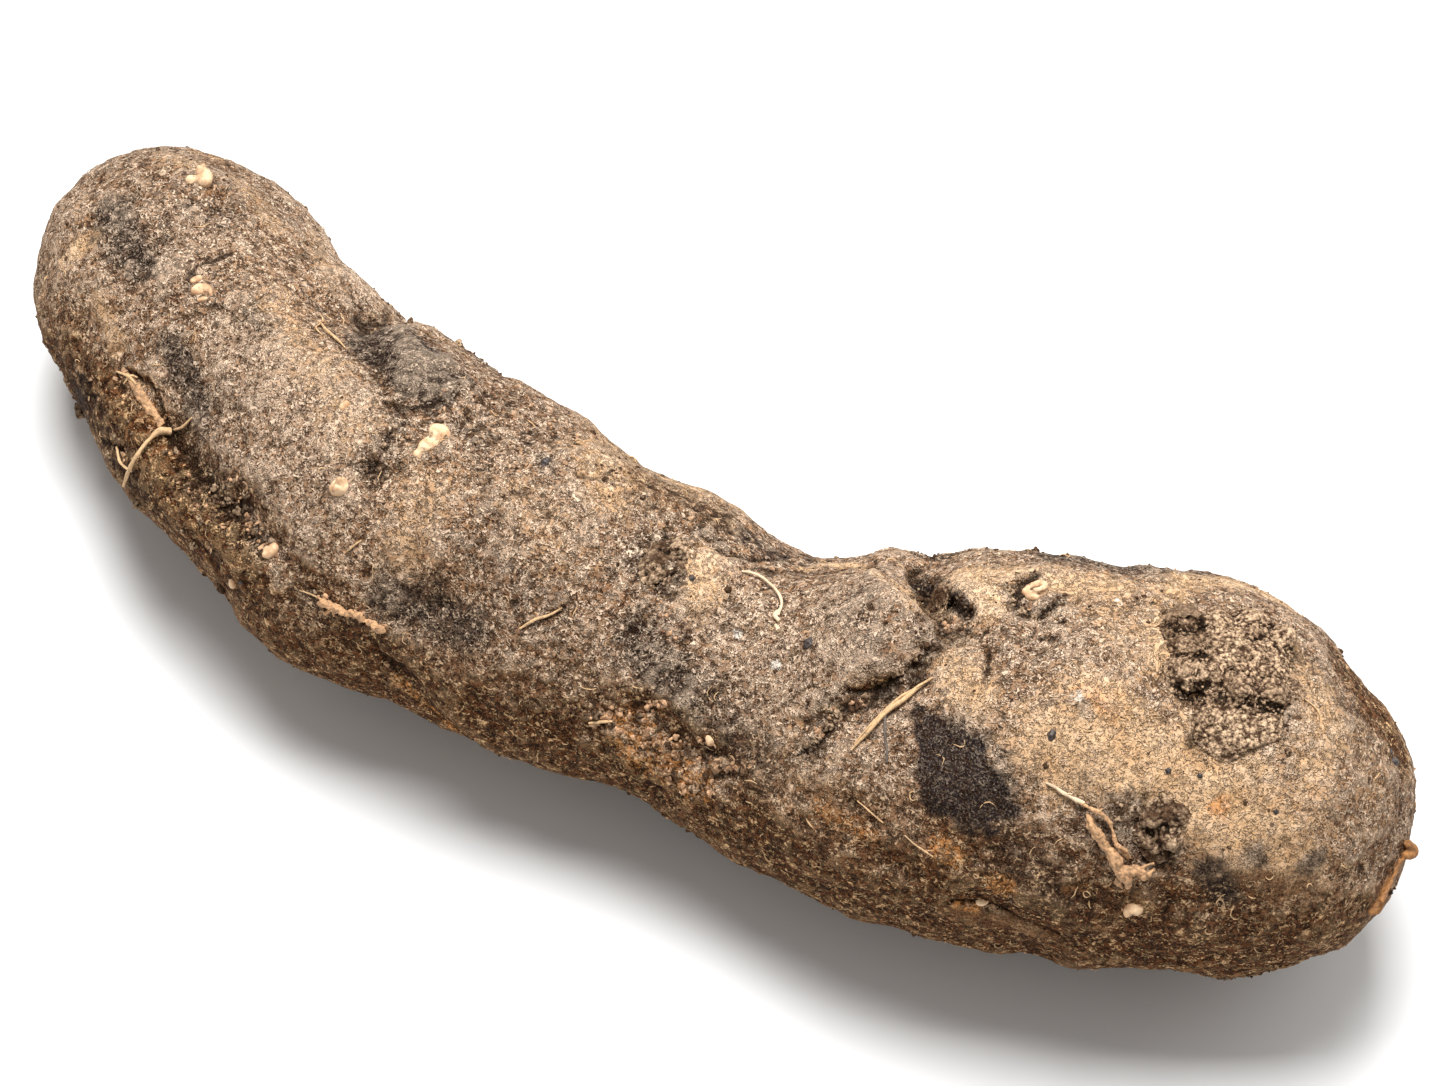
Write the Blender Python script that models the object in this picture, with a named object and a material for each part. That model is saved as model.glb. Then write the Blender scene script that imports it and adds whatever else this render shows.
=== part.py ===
"""A long, knobbly potato, unwashed, as it is lifted from the ground.

Metres, +Z up. The tuber lies along X with its thin end at -X and rests on Z = 0 on three low places. Lengths
in the tables are millimetres. A place on the skin is given as (along, around): how far along the tuber's
middle line from the tip of the thin end, in millimetres, and how far round it, in degrees, where 0 is the far
side (+Y), 90 the top, 180 the near side and 270 underneath. A bearing is measured on the skin, in degrees: 0
points towards the thick end and 90 to the left of that, seen from outside.
"""

import math

import bmesh
import bpy
import numpy as np
from mathutils import Vector, noise
from mathutils.bvhtree import BVHTree

MM = 0.001

# The tuber's middle line, with half its width and half its height there.
SPINE = [  # x, y, z, half width, half height
    (-91.6, 21.8, 19.7, 17.2, 17.6),
    (-76.1, 12.8, 19.2, 17.6, 17.9),
    (-62.9, 4.8, 19.2, 18.7, 18.4),
    (-49.4, -1.2, 20.2, 19.4, 19.0),
    (-36.2, -5.7, 21.7, 20.8, 20.2),
    (-24.0, -6.8, 21.7, 20.3, 20.0),
    (-12.6, -8.0, 21.7, 19.5, 19.8),
    (-0.8, -8.5, 21.2, 18.1, 18.6),
    (10.6, -9.7, 20.7, 17.6, 18.0),
    (21.9, -9.8, 21.2, 18.9, 19.0),
    (33.6, -9.0, 22.7, 20.9, 21.0),
    (45.0, -5.9, 24.2, 22.8, 22.8),
    (55.8, -2.8, 24.7, 23.0, 23.4),
    (66.7, 0.0, 24.7, 22.3, 23.2),
    (78.8, 1.8, 24.7, 21.5, 22.2),
    (91.9, 5.7, 24.7, 20.8, 21.6),
]
THIN_CAP = 19.0
THICK_CAP = 24.0

# Swellings, and with a height below zero hollows: place, height, and how far it spreads along and across.
LOBES = [
    (38.5, 86, 1.4, 5.0, 5.0),
    (46.8, 40, -3.0, 4.2, 8.0),
    (22.5, 14, 1.4, 7.0, 7.0),
    (8.0, 115, -0.6, 8.0, 12.0),
    (53.5, 96, 1.4, 8.0, 8.0),
    (54.5, 34, 0.9, 3.0, 5.0),
    (39.5, 33, 0.8, 5.0, 6.0),
    (64.0, 60, 2.1, 5.5, 6.5),
    (78.0, 109, 1.2, 8.0, 7.0),
    (88.0, 60, 1.1, 7.0, 7.0),
    (77.5, 28, 0.7, 6.0, 6.0),
    (88.0, 32, -1.3, 6.0, 7.0),
    (101.5, 30, 0.8, 6.0, 7.0),
    (113.5, 42, -1.4, 6.0, 8.0),
    (105.0, 80, 1.5, 4.0, 4.5),
    (129.0, 79, 2.7, 7.0, 8.5),
    (127.0, 32, 1.2, 5.0, 6.0),
    (146.0, 42, 0.9, 8.0, 8.0),
    (154.5, 40, -0.8, 5.0, 6.0),
    (165.0, 30, 1.0, 6.0, 7.0),
    (187.0, 72, -0.7, 9.0, 12.0),
    (178.0, 171, -0.7, 9.0, 8.0),
    (189.0, 143, -0.5, 6.0, 7.0),
    (153.5, 101, 1.1, 4.5, 4.5),
    (44.0, 168, 1.9, 12.0, 5.0),
    (61.5, 190, 1.6, 8.0, 8.0),
    (24.0, 150, 0.6, 9.0, 7.0),
    (92.0, 186, 1.3, 9.0, 9.0),
    (106.0, 200, -1.1, 7.0, 8.0),
    (134.0, 195, 0.9, 7.0, 8.0),
    (151.0, 199, -1.2, 3.0, 6.0),
    (157.0, 198, 1.4, 4.5, 6.0),
    (133.0, 182, -0.6, 9.0, 7.0),
    (42.0, 187, 0.9, 4.0, 6.0),
    (68.0, 196, 0.8, 8.0, 7.0),
    (173.0, 196, -0.4, 8.0, 7.0),
    (70.0, 152, 0.6, 4.0, 3.5),
    (40.0, 122, -1.2, 7.0, 4.5),
    (82.0, 136, -0.9, 8.0, 4.0),
    (111.0, 149, -0.9, 7.0, 5.0),
    (99.5, 86, -0.9, 3.5, 4.0),
    (122.0, 106, -0.6, 6.0, 6.0),
    (48.0, 0, 1.2, 12.0, 9.0),
    (72.0, 338, -1.1, 9.0, 8.0),
    (106.0, 350, 1.3, 12.0, 9.0),
    (141.0, 355, 1.5, 11.0, 9.0),
    (129.0, 300, -0.9, 10.0, 8.0),
    (170.0, 340, 1.0, 12.0, 10.0),
    (62.0, 262, -0.5, 12.0, 9.0),
    (84.0, 305, 0.9, 9.0, 8.0),
    (143.0, 232, 0.8, 10.0, 8.0),
]

# The low places that the potato rests on: place, height, spread.
REST_PLACES = [(26.0, 271, 1.6, 9.0), (112.0, 262, 4.0, 9.0), (169.0, 270, 2.5, 10.0)]

# Creases where one swelling crowds another: points (along, around, depth), width, height of the lip and its
# side, 1 for the left of the way the points run and -1 for the right.
CREASES = [
    ([(31, 139, 0.3), (38, 141, 1.2), (44, 141, 1.7), (52, 143, 1.5), (59, 144, 1.2), (65, 149, 0.3)], 1.9, 1.2, -1),
    ([(130, 60, 0.5), (136, 66, 3.6), (139, 83, 1.8), (136, 97, 1.7), (131.5, 107, 2.1), (130, 115, 1.2),
      (127, 128, 0.3)], 1.7, 0.8, -1),
    ([(136, 64, 1.6), (135, 48, 1.1), (132, 30, 0.8), (128, 8, 0.2)], 2.2, 0.3, 1),
    ([(115, 60, 0.2), (122, 47, 0.6), (130, 57, 0.5), (135, 66, 0.6)], 1.6, 0.5, -1),
    ([(72, 156, 0.2), (76, 165, 0.9), (81, 177, 1.0), (86, 200, 0.3)], 1.7, 0.8, 1),
    ([(46, 34, 0.6), (50, 51, 1.6), (58, 70, 1.2), (64, 82, 1.5), (70, 73, 0.4)], 1.7, 0.6, 1),
    ([(140, 171, 0.3), (146, 167, 1.1), (155, 177, 0.4)], 1.5, 0.8, 1),
    ([(30, 98, 0.6), (29, 88, 1.1), (31, 76, 0.3)], 1.3, 0.3, 1),
    ([(141, 76, 0.9), (144, 90, 0.6), (143, 99, 0.2)], 1.3, 0.3, 1),
    ([(66, 106, 1.3), (70, 98, 0.6), (75, 92, 0.2)], 1.5, 0.2, 1),
    ([(102, 151, 0.3), (108, 137, 0.8), (113, 146, 0.9), (119, 145, 0.2)], 1.4, 0.4, 1),
    ([(53, 300, 0.2), (59, 318, 0.9), (61, 342, 0.8), (57, 2, 0.2)], 1.8, 0.6, 1),
    ([(118, 285, 0.2), (122, 310, 1.0), (120, 333, 0.9), (112, 350, 0.2)], 1.9, 0.7, -1),
    ([(150, 320, 0.2), (157, 335, 0.9), (160, 352, 0.2)], 1.7, 0.5, 1),
]

# Eyes: place, pit radius, pit depth, brow height, brow bearing, bud radius, bud height.
EYES = [
    (33.5, 97, 3.4, 1.3, 0.4, 150, 1.5, 1.6),
    (17.5, 70, 2.4, 0.6, 0.3, 150, 1.5, 1.1),
    (71.5, 83, 2.2, 0.5, 0.4, 90, 1.4, 1.5),
    (70.0, 94, 1.6, 0.0, 0.0, 90, 1.3, 1.0),
    (65.0, 115, 1.9, 0.4, 0.0, 90, 1.4, 1.4),
    (147.8, 67, 4.2, 1.7, 0.8, 120, 1.9, 2.4),
    (153.5, 101, 2.0, 0.3, 0.0, 90, 1.2, 0.7),
    (163.0, 160, 1.6, 0.3, 0.0, 90, 1.2, 1.0),
    (43.5, 141, 2.6, 0.6, 0.0, 90, 1.2, 0.6),
    (13.0, 325, 3.2, 1.0, 0.6, 180, 1.3, 1.1),
    (30.0, 228, 3.4, 1.0, 0.7, 170, 1.3, 1.1),
    (61.0, 296, 3.8, 1.3, 0.8, 190, 1.5, 1.4),
    (92.0, 352, 3.6, 1.1, 0.8, 160, 1.4, 1.3),
    (97.0, 228, 3.6, 1.2, 0.8, 180, 1.4, 1.2),
    (128.0, 330, 3.8, 1.3, 0.9, 180, 1.5, 1.5),
    (151.0, 258, 3.8, 1.2, 0.8, 190, 1.4, 1.2),
    (167.0, 322, 4.0, 1.4, 0.9, 170, 1.6, 1.6),
    (183.0, 20, 3.4, 1.1, 0.7, 180, 1.4, 1.3),
    (181.0, 225, 3.2, 1.0, 0.6, 180, 1.3, 1.1),
]

# Unevenness of the skin: how far apart its swells lie and how high they are.
SWELLS = [(12.0, 0.8), (4.5, 0.4)]

# Skin lower than this is level with the surface that the potato rests on.
LEVEL = 0.06

SEGMENTS_ROUND = 144
RINGS_ALONG = 280
TUBER_TRIANGLES = 10400

# Soil and roots stand this far off the skin, so that each is a piece of its own.
GAP = 0.32

# Soil stuck to the skin: name, place, reach at even bearings, thickness, lumps (ahead, left, height, radius),
# how rough it is, and segments round and rings across.
SOIL = [
    ("soil_crust", (168.5, 83), (6.4, 7.2, 8.8, 10.0, 10.8, 9.2, 7.4, 7.4, 7.2, 9.6, 10.4, 7.8), 0.3,
     [(-7.0, 7.0, 1.9, 2.2), (-3.8, 6.9, 1.6, 2.1), (0.9, 7.6, 1.5, 2.1), (4.3, 6.2, 2.0, 1.7), (-5.8, 3.4, 1.4, 1.2),
      (-5.6, 0.8, 1.7, 1.6), (-2.0, 2.6, 1.0, 2.5), (2.6, 2.2, 0.8, 2.5), (-5.7, -2.6, 2.1, 1.9),
      (-2.8, -2.4, 1.8, 1.7), (1.2, -3.0, 2.3, 1.8), (4.6, -1.8, 1.8, 1.8), (-1.4, -7.0, 0.9, 2.2),
      (2.2, -7.6, 1.0, 2.8), (5.4, -5.8, 0.9, 2.1)], 0.4, (68, 28)),
    ("soil_by_stolon", (162.8, 135), (2.6, 3.8, 4.4, 3.2, 2.8, 3.0, 4.0, 3.4), 0.4,
     [(-1.2, 1.4, 1.3, 1.2), (1.5, -0.8, 1.7, 1.2), (0.8, 2.2, 1.2, 1.0), (-0.6, -1.8, 1.1, 1.1)], 0.5, (26, 12)),
    ("soil_in_crease", (137.0, 64), (1.7, 2.2, 2.8, 2.2, 1.6, 2.0, 2.9, 2.2), 0.4,
     [(0.0, 1.0, 1.0, 1.0), (0.2, -1.4, 0.9, 1.0)], 0.4, (20, 12)),
    ("soil_by_bare_patch", (99.5, 85), (2.2, 3.0, 4.2, 3.0, 2.2, 2.6, 4.2, 3.0), 0.3,
     [(0.4, 2.4, 1.0, 1.1), (-0.8, -0.4, 0.9, 1.1), (0.4, -2.4, 0.9, 1.1)], 0.5, (24, 12)),
]


def chord_lengths(points):
    """How far along the line through the points each of them is."""
    steps = np.linalg.norm(np.diff(points, axis=0), axis=1)
    return np.concatenate([[0.0], np.cumsum(steps)])


def smooth_through(stops, rows, at):
    """The rows at these places between the stops, on a smooth curve through them all."""
    slopes = np.gradient(rows, stops, axis=0)
    i = np.clip(np.searchsorted(stops, at) - 1, 0, len(stops) - 2)
    gap = (stops[i + 1] - stops[i])[:, None]
    t = ((at - stops[i]) / gap[:, 0])[:, None]
    start = (1 + 2 * t) * (1 - t) ** 2
    end = t * t * (3 - 2 * t)
    leaving = t * (1 - t) ** 2 * gap * slopes[i]
    arriving = t * t * (1 - t) * gap * slopes[i + 1]
    return start * rows[i] + end * rows[i + 1] + leaving - arriving


SPINE_ROWS = np.array(SPINE)
STOPS = chord_lengths(SPINE_ROWS[:, :3])
LENGTH = STOPS[-1]


def cap_share(along):
    """The share of the full width there, which falls to 0 at the tips, and how far the skin leans forward."""
    thin = np.clip((THIN_CAP - along) / THIN_CAP, 0, 1)
    thick = np.clip((along - LENGTH + THICK_CAP) / THICK_CAP, 0, 1)
    return np.sqrt((1 - thin**2) * (1 - thick**2)), thick - thin


def unit(vectors):
    return vectors / np.linalg.norm(vectors, axis=-1, keepdims=True)


def plain_skin(along, around):
    """Points of the smooth tuber and the directions that face out of it, before its lumps."""
    along = np.clip(np.asarray(along, float), 0, LENGTH)
    rows = smooth_through(STOPS, SPINE_ROWS, along)
    ahead = smooth_through(STOPS, SPINE_ROWS, np.minimum(along + 0.5, LENGTH))
    behind = smooth_through(STOPS, SPINE_ROWS, np.maximum(along - 0.5, 0))
    forward = unit(ahead[:, :3] - behind[:, :3])
    far = unit(np.cross([0.0, 0.0, 1.0], forward))
    upward = np.cross(forward, far)
    share, lean = cap_share(along)
    angle = np.radians(around)
    c, s = np.cos(angle)[:, None], np.sin(angle)[:, None]
    points = rows[:, :3] + share[:, None] * (far * c * rows[:, 3:4] + upward * s * rows[:, 4:])
    return points, unit((far * c + upward * s) * share[:, None] + forward * lean[:, None])


def place(along, around):
    """A place on the smooth tuber: the point, and the ways forward, left and outward there."""
    points, outward = plain_skin([along, along + 0.5], np.array([around, around]))
    forward = points[1] - points[0]
    forward = unit(forward - outward[0] * (forward @ outward[0]))
    return points[0], forward, np.cross(outward[0], forward), outward[0]


def from_place(points, along, around):
    """How far ahead of the place, left of it and out from it each point is."""
    origin, forward, left, outward = place(along, around)
    offset = points - origin
    return offset @ forward, offset @ left, offset @ outward


def bump(points, along, around, spread_along, spread_across):
    """1 at the place, fading smoothly to 0 round it."""
    ahead, left, out = from_place(points, along, around)
    reach = max(spread_along, spread_across)
    return np.exp(-((ahead / spread_along) ** 2) - (left / spread_across) ** 2 - (out / reach) ** 2)


def crease(points, stations, width, lip, side):
    """The depth of a crease along its stations, with a raised lip on one side."""
    rows = np.array(stations, float)
    rows[:, 1] = np.degrees(np.unwrap(np.radians(rows[:, 1])))
    stops = chord_lengths(rows[:, :2] * [1.0, 0.35])
    fine = smooth_through(stops, rows, np.linspace(0, stops[-1], 60))
    path, outward = plain_skin(fine[:, 0], fine[:, 1])
    left = unit(np.cross(outward, np.gradient(path, axis=0)))
    offset = points[:, None, :] - path[None]
    nearest = np.argmin((offset**2).sum(axis=2), axis=1)
    offset = offset[np.arange(len(points)), nearest]
    away = np.linalg.norm(offset, axis=1)
    beside = (offset * left[nearest]).sum(axis=1) * side
    depth = fine[nearest, 2]
    strength = depth / fine[:, 2].max()
    raised = lip * strength * np.exp(-(((beside - 2.1 * width) / (1.5 * width)) ** 2))
    end_fade = np.exp(-np.maximum(away - np.abs(beside), 0) / width)
    return raised * end_fade - depth * np.exp(-((away / width) ** 2))


def eye(points, along, around, pit, depth, brow, brow_bearing, bud, bud_height):
    ahead, left, out = from_place(points, along, around)
    away = np.sqrt(ahead**2 + left**2 + out**2)
    turned = np.arctan2(left, ahead) - math.radians(brow_bearing)
    arch = np.clip(np.cos(turned), 0, 1) * np.exp(-(((away - 1.3 * pit) / (0.45 * pit)) ** 2))
    return brow * arch + bud_height * np.exp(-((away / bud) ** 2)) - depth * np.exp(-((away / pit) ** 2))


def uneven(points, spacing):
    return np.array([noise.fractal(Vector(p) / spacing, 1.0, 2.0, 3) for p in points])


def skin(along, around):
    """Points of the lumpy skin."""
    points, outward = plain_skin(along, around)
    rise = np.zeros(len(points))
    for lobe_along, lobe_around, height, spread_along, spread_across in LOBES:
        rise += height * bump(points, lobe_along, lobe_around, spread_along, spread_across)
    for rest_along, rest_around, height, spread in REST_PLACES:
        rise += height * bump(points, rest_along, rest_around, spread, spread)
    for stations, width, lip, side in CREASES:
        rise += crease(points, stations, width, lip, side)
    for row in EYES:
        rise += eye(points, *row)
    for spacing, height in SWELLS:
        rise += height * uneven(points, spacing)
    return points + outward * rise[:, None]


def ball(segments, rings):
    """A ball one millimetre in radius, its poles along Z."""
    bm = bmesh.new()
    bmesh.ops.create_uvsphere(bm, u_segments=segments, v_segments=rings, radius=1.0)
    return bm


def add(name, bm, coat):
    """The object that the finished shape makes, turned to metres and shaded smooth."""
    bmesh.ops.scale(bm, vec=(MM, MM, MM), verts=bm.verts)
    bmesh.ops.recalc_face_normals(bm, faces=bm.faces)
    mesh = bpy.data.meshes.new(name)
    bm.to_mesh(mesh)
    bm.free()
    mesh.materials.append(coat)
    mesh.shade_smooth()
    made = bpy.data.objects.new(name, mesh)
    bpy.context.scene.collection.objects.link(made)
    return made


def tuber(coat):
    bm = ball(SEGMENTS_ROUND, RINGS_ALONG)
    shape = np.array([v.co for v in bm.verts])
    along = LENGTH * np.arccos(np.clip(-shape[:, 2], -1, 1)) / math.pi
    around = np.degrees(np.arctan2(shape[:, 1], shape[:, 0]))
    points = skin(along, around)
    points[:, 2] = np.maximum(points[:, 2], 0)
    for vert, point in zip(bm.verts, points):
        vert.co = point
    made = add("tuber", bm, coat)
    fewer = made.modifiers.new("even_facets", "DECIMATE")
    fewer.ratio = TUBER_TRIANGLES / (2 * SEGMENTS_ROUND * RINGS_ALONG)
    made.data = bpy.data.meshes.new_from_object(made.evaluated_get(bpy.context.evaluated_depsgraph_get()))
    made.modifiers.clear()
    for vert in made.data.vertices:
        if vert.co.z < LEVEL * MM:
            vert.co.z = 0.0
    return made


def surface_of(made):
    """The finished surface of the object, for laying other pieces on."""
    return BVHTree.FromObject(made, bpy.context.evaluated_depsgraph_get())


def laid_on(surface, point, outward):
    """Where the surface lies under the point, looking inward, in millimetres."""
    start = Vector(point + outward * 12.0) * MM
    hit = surface.ray_cast(start, Vector(-outward))[0]
    return np.array(hit) / MM


def smooth_round(reaches, bearing):
    """The reach at this bearing, on a smooth closed curve through the even bearings."""
    turns = bearing / (2 * math.pi) % 1.0 * len(reaches)
    i = int(turns)
    t = (1 - math.cos((turns - i) * math.pi)) / 2
    return reaches[i % len(reaches)] * (1 - t) + reaches[(i + 1) % len(reaches)] * t


def soil(surface, coat, name, at, reaches, thickness, lumps, rough, fineness):
    """A flat cake of soil that follows the skin under it."""
    origin, forward, left, outward = place(*at)
    bm = ball(*fineness)
    for vert in bm.verts:
        share = math.hypot(vert.co.x, vert.co.y)
        bearing = math.atan2(vert.co.y, vert.co.x)
        ragged = 1 + 0.3 * noise.noise(Vector((math.cos(bearing), math.sin(bearing), at[0])) * 2.6)
        reach = share * smooth_round(reaches, bearing) * ragged
        ahead, aside = reach * math.cos(bearing), reach * math.sin(bearing)
        base = laid_on(surface, origin + forward * ahead + left * aside, outward) + outward * GAP
        tallest = 0.0
        for lump_ahead, lump_left, lump_height, radius in lumps:
            away = math.hypot(ahead - lump_ahead, aside - lump_left)
            tallest = max(tallest, lump_height * math.exp(-((away / radius) ** 4)))
        height = thickness + tallest + rough * noise.noise(Vector(base) * 0.7)
        vert.co = base + outward * max(height, 0.3) * max(vert.co.z, 0.0) ** 0.6
    return add(name, bm, coat)


def strand_path(surface, stations, spacing=1.1):
    """Centres along a root laid on the skin, with its radius at each: stations are (along, around, radius, lift)."""
    rows = np.array(stations, float)
    stops = chord_lengths(rows[:, :2] * [1.0, 0.35])
    count = max(4, int(stops[-1] / spacing))
    fine = smooth_through(stops, rows, np.linspace(0, stops[-1], count))
    points, outward = plain_skin(fine[:, 0], fine[:, 1])
    centres = []
    for point, out, radius, lift in zip(points, outward, fine[:, 2], fine[:, 3]):
        centres.append(laid_on(surface, point, out) + out * (GAP + radius + lift))
    return clear_of(surface, np.array(centres), fine[:, 2], outward), fine[:, 2]


def clear_of(surface, centres, radii, outward):
    """The centres moved out until none is nearer the surface than its radius and the gap."""
    for _ in range(4):
        for i in range(len(centres)):
            near = surface.find_nearest(Vector(centres[i]) * MM)[3] / MM
            centres[i] += outward[i] * max(0.0, radii[i] + GAP - near)
    return centres


def strand(centres, radii, sides):
    """A tapering root through the centres, closed at both ends."""
    bm = bmesh.new()
    ways = unit(np.gradient(centres, axis=0))
    across = unit(np.cross(ways[0], [0.3, 0.2, 1.0]))
    rings = []
    for centre, way, radius in zip(centres, ways, radii):
        across = unit(across - way * (across @ way))
        other = np.cross(way, across)
        ring = []
        for k in range(sides):
            turn = 2 * math.pi * k / sides
            ring.append(bm.verts.new(centre + radius * (across * math.cos(turn) + other * math.sin(turn))))
        rings.append(ring)
    for one, two in zip(rings, rings[1:]):
        for k in range(sides):
            bm.faces.new((one[k], one[(k + 1) % sides], two[(k + 1) % sides], two[k]))
    for end, way in ((0, -ways[0]), (-1, ways[-1])):
        tip = bm.verts.new(centres[end] + way * radii[end] * 0.8)
        for k in range(sides):
            bm.faces.new((rings[end][k], rings[end][(k + 1) % sides], tip))
    return bm


def root(surface, coat, name, stations, sides=7):
    return add(name, strand(*strand_path(surface, stations), sides), coat)


def join_to(whole, piece):
    """The piece made part of the whole, and put out of sight."""
    joined = whole.modifiers.new("with_" + piece.name, "BOOLEAN")
    joined.operation = "UNION"
    joined.solver = "EXACT"
    joined.object = piece
    piece.hide_render = True
    piece.display_type = "WIRE"


def stolon(surface, coat):
    """The dry forked stump of the stolon, with its frayed foot and the thin root that leaves it."""
    whole = root(surface, coat, "stolon", [
        (155, 131, 0.45, 0.0), (157, 135, 0.6, 0.1), (158.5, 141, 0.75, 0.3), (160.3, 146, 0.9, 0.4),
        (161.7, 150, 0.85, 0.2), (162.2, 154, 0.5, 0.0)], 8)
    thin = root(surface, coat, "stolon_thin_root", [
        (151, 126, 0.32, 0.0), (154, 128, 0.4, 0.3), (157, 130, 0.42, 0.7), (159, 135, 0.4, 1.1),
        (161, 143, 0.36, 0.8), (161.3, 147.5, 0.36, 0.3)])
    arm = root(surface, coat, "stolon_arm", [(160.8, 148, 0.6, 0.5), (163, 147, 0.65, 0.4), (165, 145.5, 0.4, 0.2)])
    nub = root(surface, coat, "stolon_nub", [(160.6, 147, 0.5, 0.5), (159.4, 147, 0.5, 0.3), (158.4, 146, 0.35, 0.1)])
    for piece in (thin, arm, nub):
        join_to(whole, piece)


def straw(surface, coat):
    """A dry forked root lying across the big crease."""
    whole = root(surface, coat, "dry_forked_root", [
        (132, 123, 0.3, 0.1), (133.5, 116, 0.35, 0.3), (135, 111, 0.42, 0.5), (136.8, 105.5, 0.42, 0.3),
        (139, 99, 0.32, 0.0)])
    branch = root(surface, coat, "dry_root_branch", [
        (135, 111, 0.32, 0.45), (134.8, 115, 0.32, 0.3), (135.4, 124, 0.3, 0.0)])
    join_to(whole, branch)


def material(name, colour, roughness):
    made = bpy.data.materials.new(name)
    made.use_nodes = True
    shader = made.node_tree.nodes["Principled BSDF"]
    shader.inputs["Base Color"].default_value = (*colour, 1.0)
    shader.inputs["Roughness"].default_value = roughness
    shader.inputs["Metallic"].default_value = 0.0
    made.diffuse_color = (*colour, 1.0)
    return made


def main():
    for old in list(bpy.data.objects):
        bpy.data.objects.remove(old)
    surface = surface_of(tuber(material("skin", (0.305, 0.195, 0.114), 0.85)))
    earth = material("dry_soil", (0.141, 0.102, 0.078), 0.95)
    for row in SOIL:
        soil(surface, earth, *row)
    stolon(surface, material("stolon_bark", (0.376, 0.223, 0.150), 0.8))
    dry = material("dry_root", (0.515, 0.328, 0.156), 0.75)
    straw(surface, dry)
    root(surface, dry, "thin_end_root", [
        (38.6, 179, 0.3, 0.0), (41.3, 165, 0.32, 0.6), (42.3, 150, 0.4, 0.5), (43.5, 142, 0.5, 0.1),
        (44.8, 136, 0.45, 0.1), (46, 129, 0.3, 0.1)])
    root(surface, material("white_root", (0.610, 0.429, 0.262), 0.7), "thread_root", [
        (109.5, 73, 0.3, 0.0), (111.5, 73, 0.32, 0.3), (114.5, 75, 0.32, 0.5), (117, 80, 0.32, 0.4),
        (118, 86, 0.36, 0.1), (118, 91, 0.42, 0.0)])
    root(surface, material("stem_end_bark", (0.305, 0.150, 0.055), 0.8), "stem_end_strand", [
        (190.8, 150, 0.7, 0.0), (190.0, 156, 0.42, 0.0), (188.4, 161, 0.42, 0.0), (186.6, 172, 0.6, 0.0)], 8)


main()
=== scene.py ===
import math

import bmesh
import bpy
import numpy as np
from bpy.props import FloatProperty, FloatVectorProperty, IntProperty, PointerProperty
from mathutils import Matrix, Vector, noise
from mathutils.bvhtree import BVHTree


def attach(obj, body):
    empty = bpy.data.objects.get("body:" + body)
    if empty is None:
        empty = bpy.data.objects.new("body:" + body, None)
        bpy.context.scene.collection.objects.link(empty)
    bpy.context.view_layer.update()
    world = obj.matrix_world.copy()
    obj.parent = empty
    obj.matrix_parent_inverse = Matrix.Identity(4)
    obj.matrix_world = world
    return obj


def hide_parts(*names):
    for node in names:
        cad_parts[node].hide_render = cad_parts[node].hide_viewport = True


bl_info = {
    "name": "Unwashed potato",
    "version": (1, 0, 0),
    "blender": (4, 5, 0),
    "location": "View3D > Sidebar > Potato",
    "description": "Dresses a plain potato with its earthy skin, buds, roots and soil",
    "category": "Object",
}

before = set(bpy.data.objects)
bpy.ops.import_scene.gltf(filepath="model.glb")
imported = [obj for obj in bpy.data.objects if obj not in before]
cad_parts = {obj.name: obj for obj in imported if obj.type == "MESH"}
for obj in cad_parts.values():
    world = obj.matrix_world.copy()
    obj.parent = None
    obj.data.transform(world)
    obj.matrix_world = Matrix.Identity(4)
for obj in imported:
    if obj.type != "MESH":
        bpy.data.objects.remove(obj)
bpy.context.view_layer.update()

MM = 0.001
# Loose bits lie on the skin only where it is this high or more.
CLEAR_OF_FLOOR = 4 * MM
PHOTO_WIDE, PHOTO_HIGH = 1448, 1086
SENSOR_MM, LENS_MM = 36.0, 100.0
CAMERA_AZIMUTH, CAMERA_ELEVATION = math.radians(25.0), math.radians(60.0)
CAMERA_TARGET = Vector((0.0035, 0.0065, 0.0227))
CAMERA_DISTANCE = 0.4833
BACK = Vector((
    math.sin(CAMERA_AZIMUTH) * math.cos(CAMERA_ELEVATION),
    -math.cos(CAMERA_AZIMUTH) * math.cos(CAMERA_ELEVATION),
    math.sin(CAMERA_ELEVATION),
))
RIGHT = Vector((math.cos(CAMERA_AZIMUTH), math.sin(CAMERA_AZIMUTH), 0.0))
UP = BACK.cross(RIGHT)
EYE = CAMERA_TARGET + BACK * CAMERA_DISTANCE
# The size of one photograph pixel on the potato, in metres.
PIXEL = CAMERA_DISTANCE * SENSOR_MM / LENS_MM / PHOTO_WIDE

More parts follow.
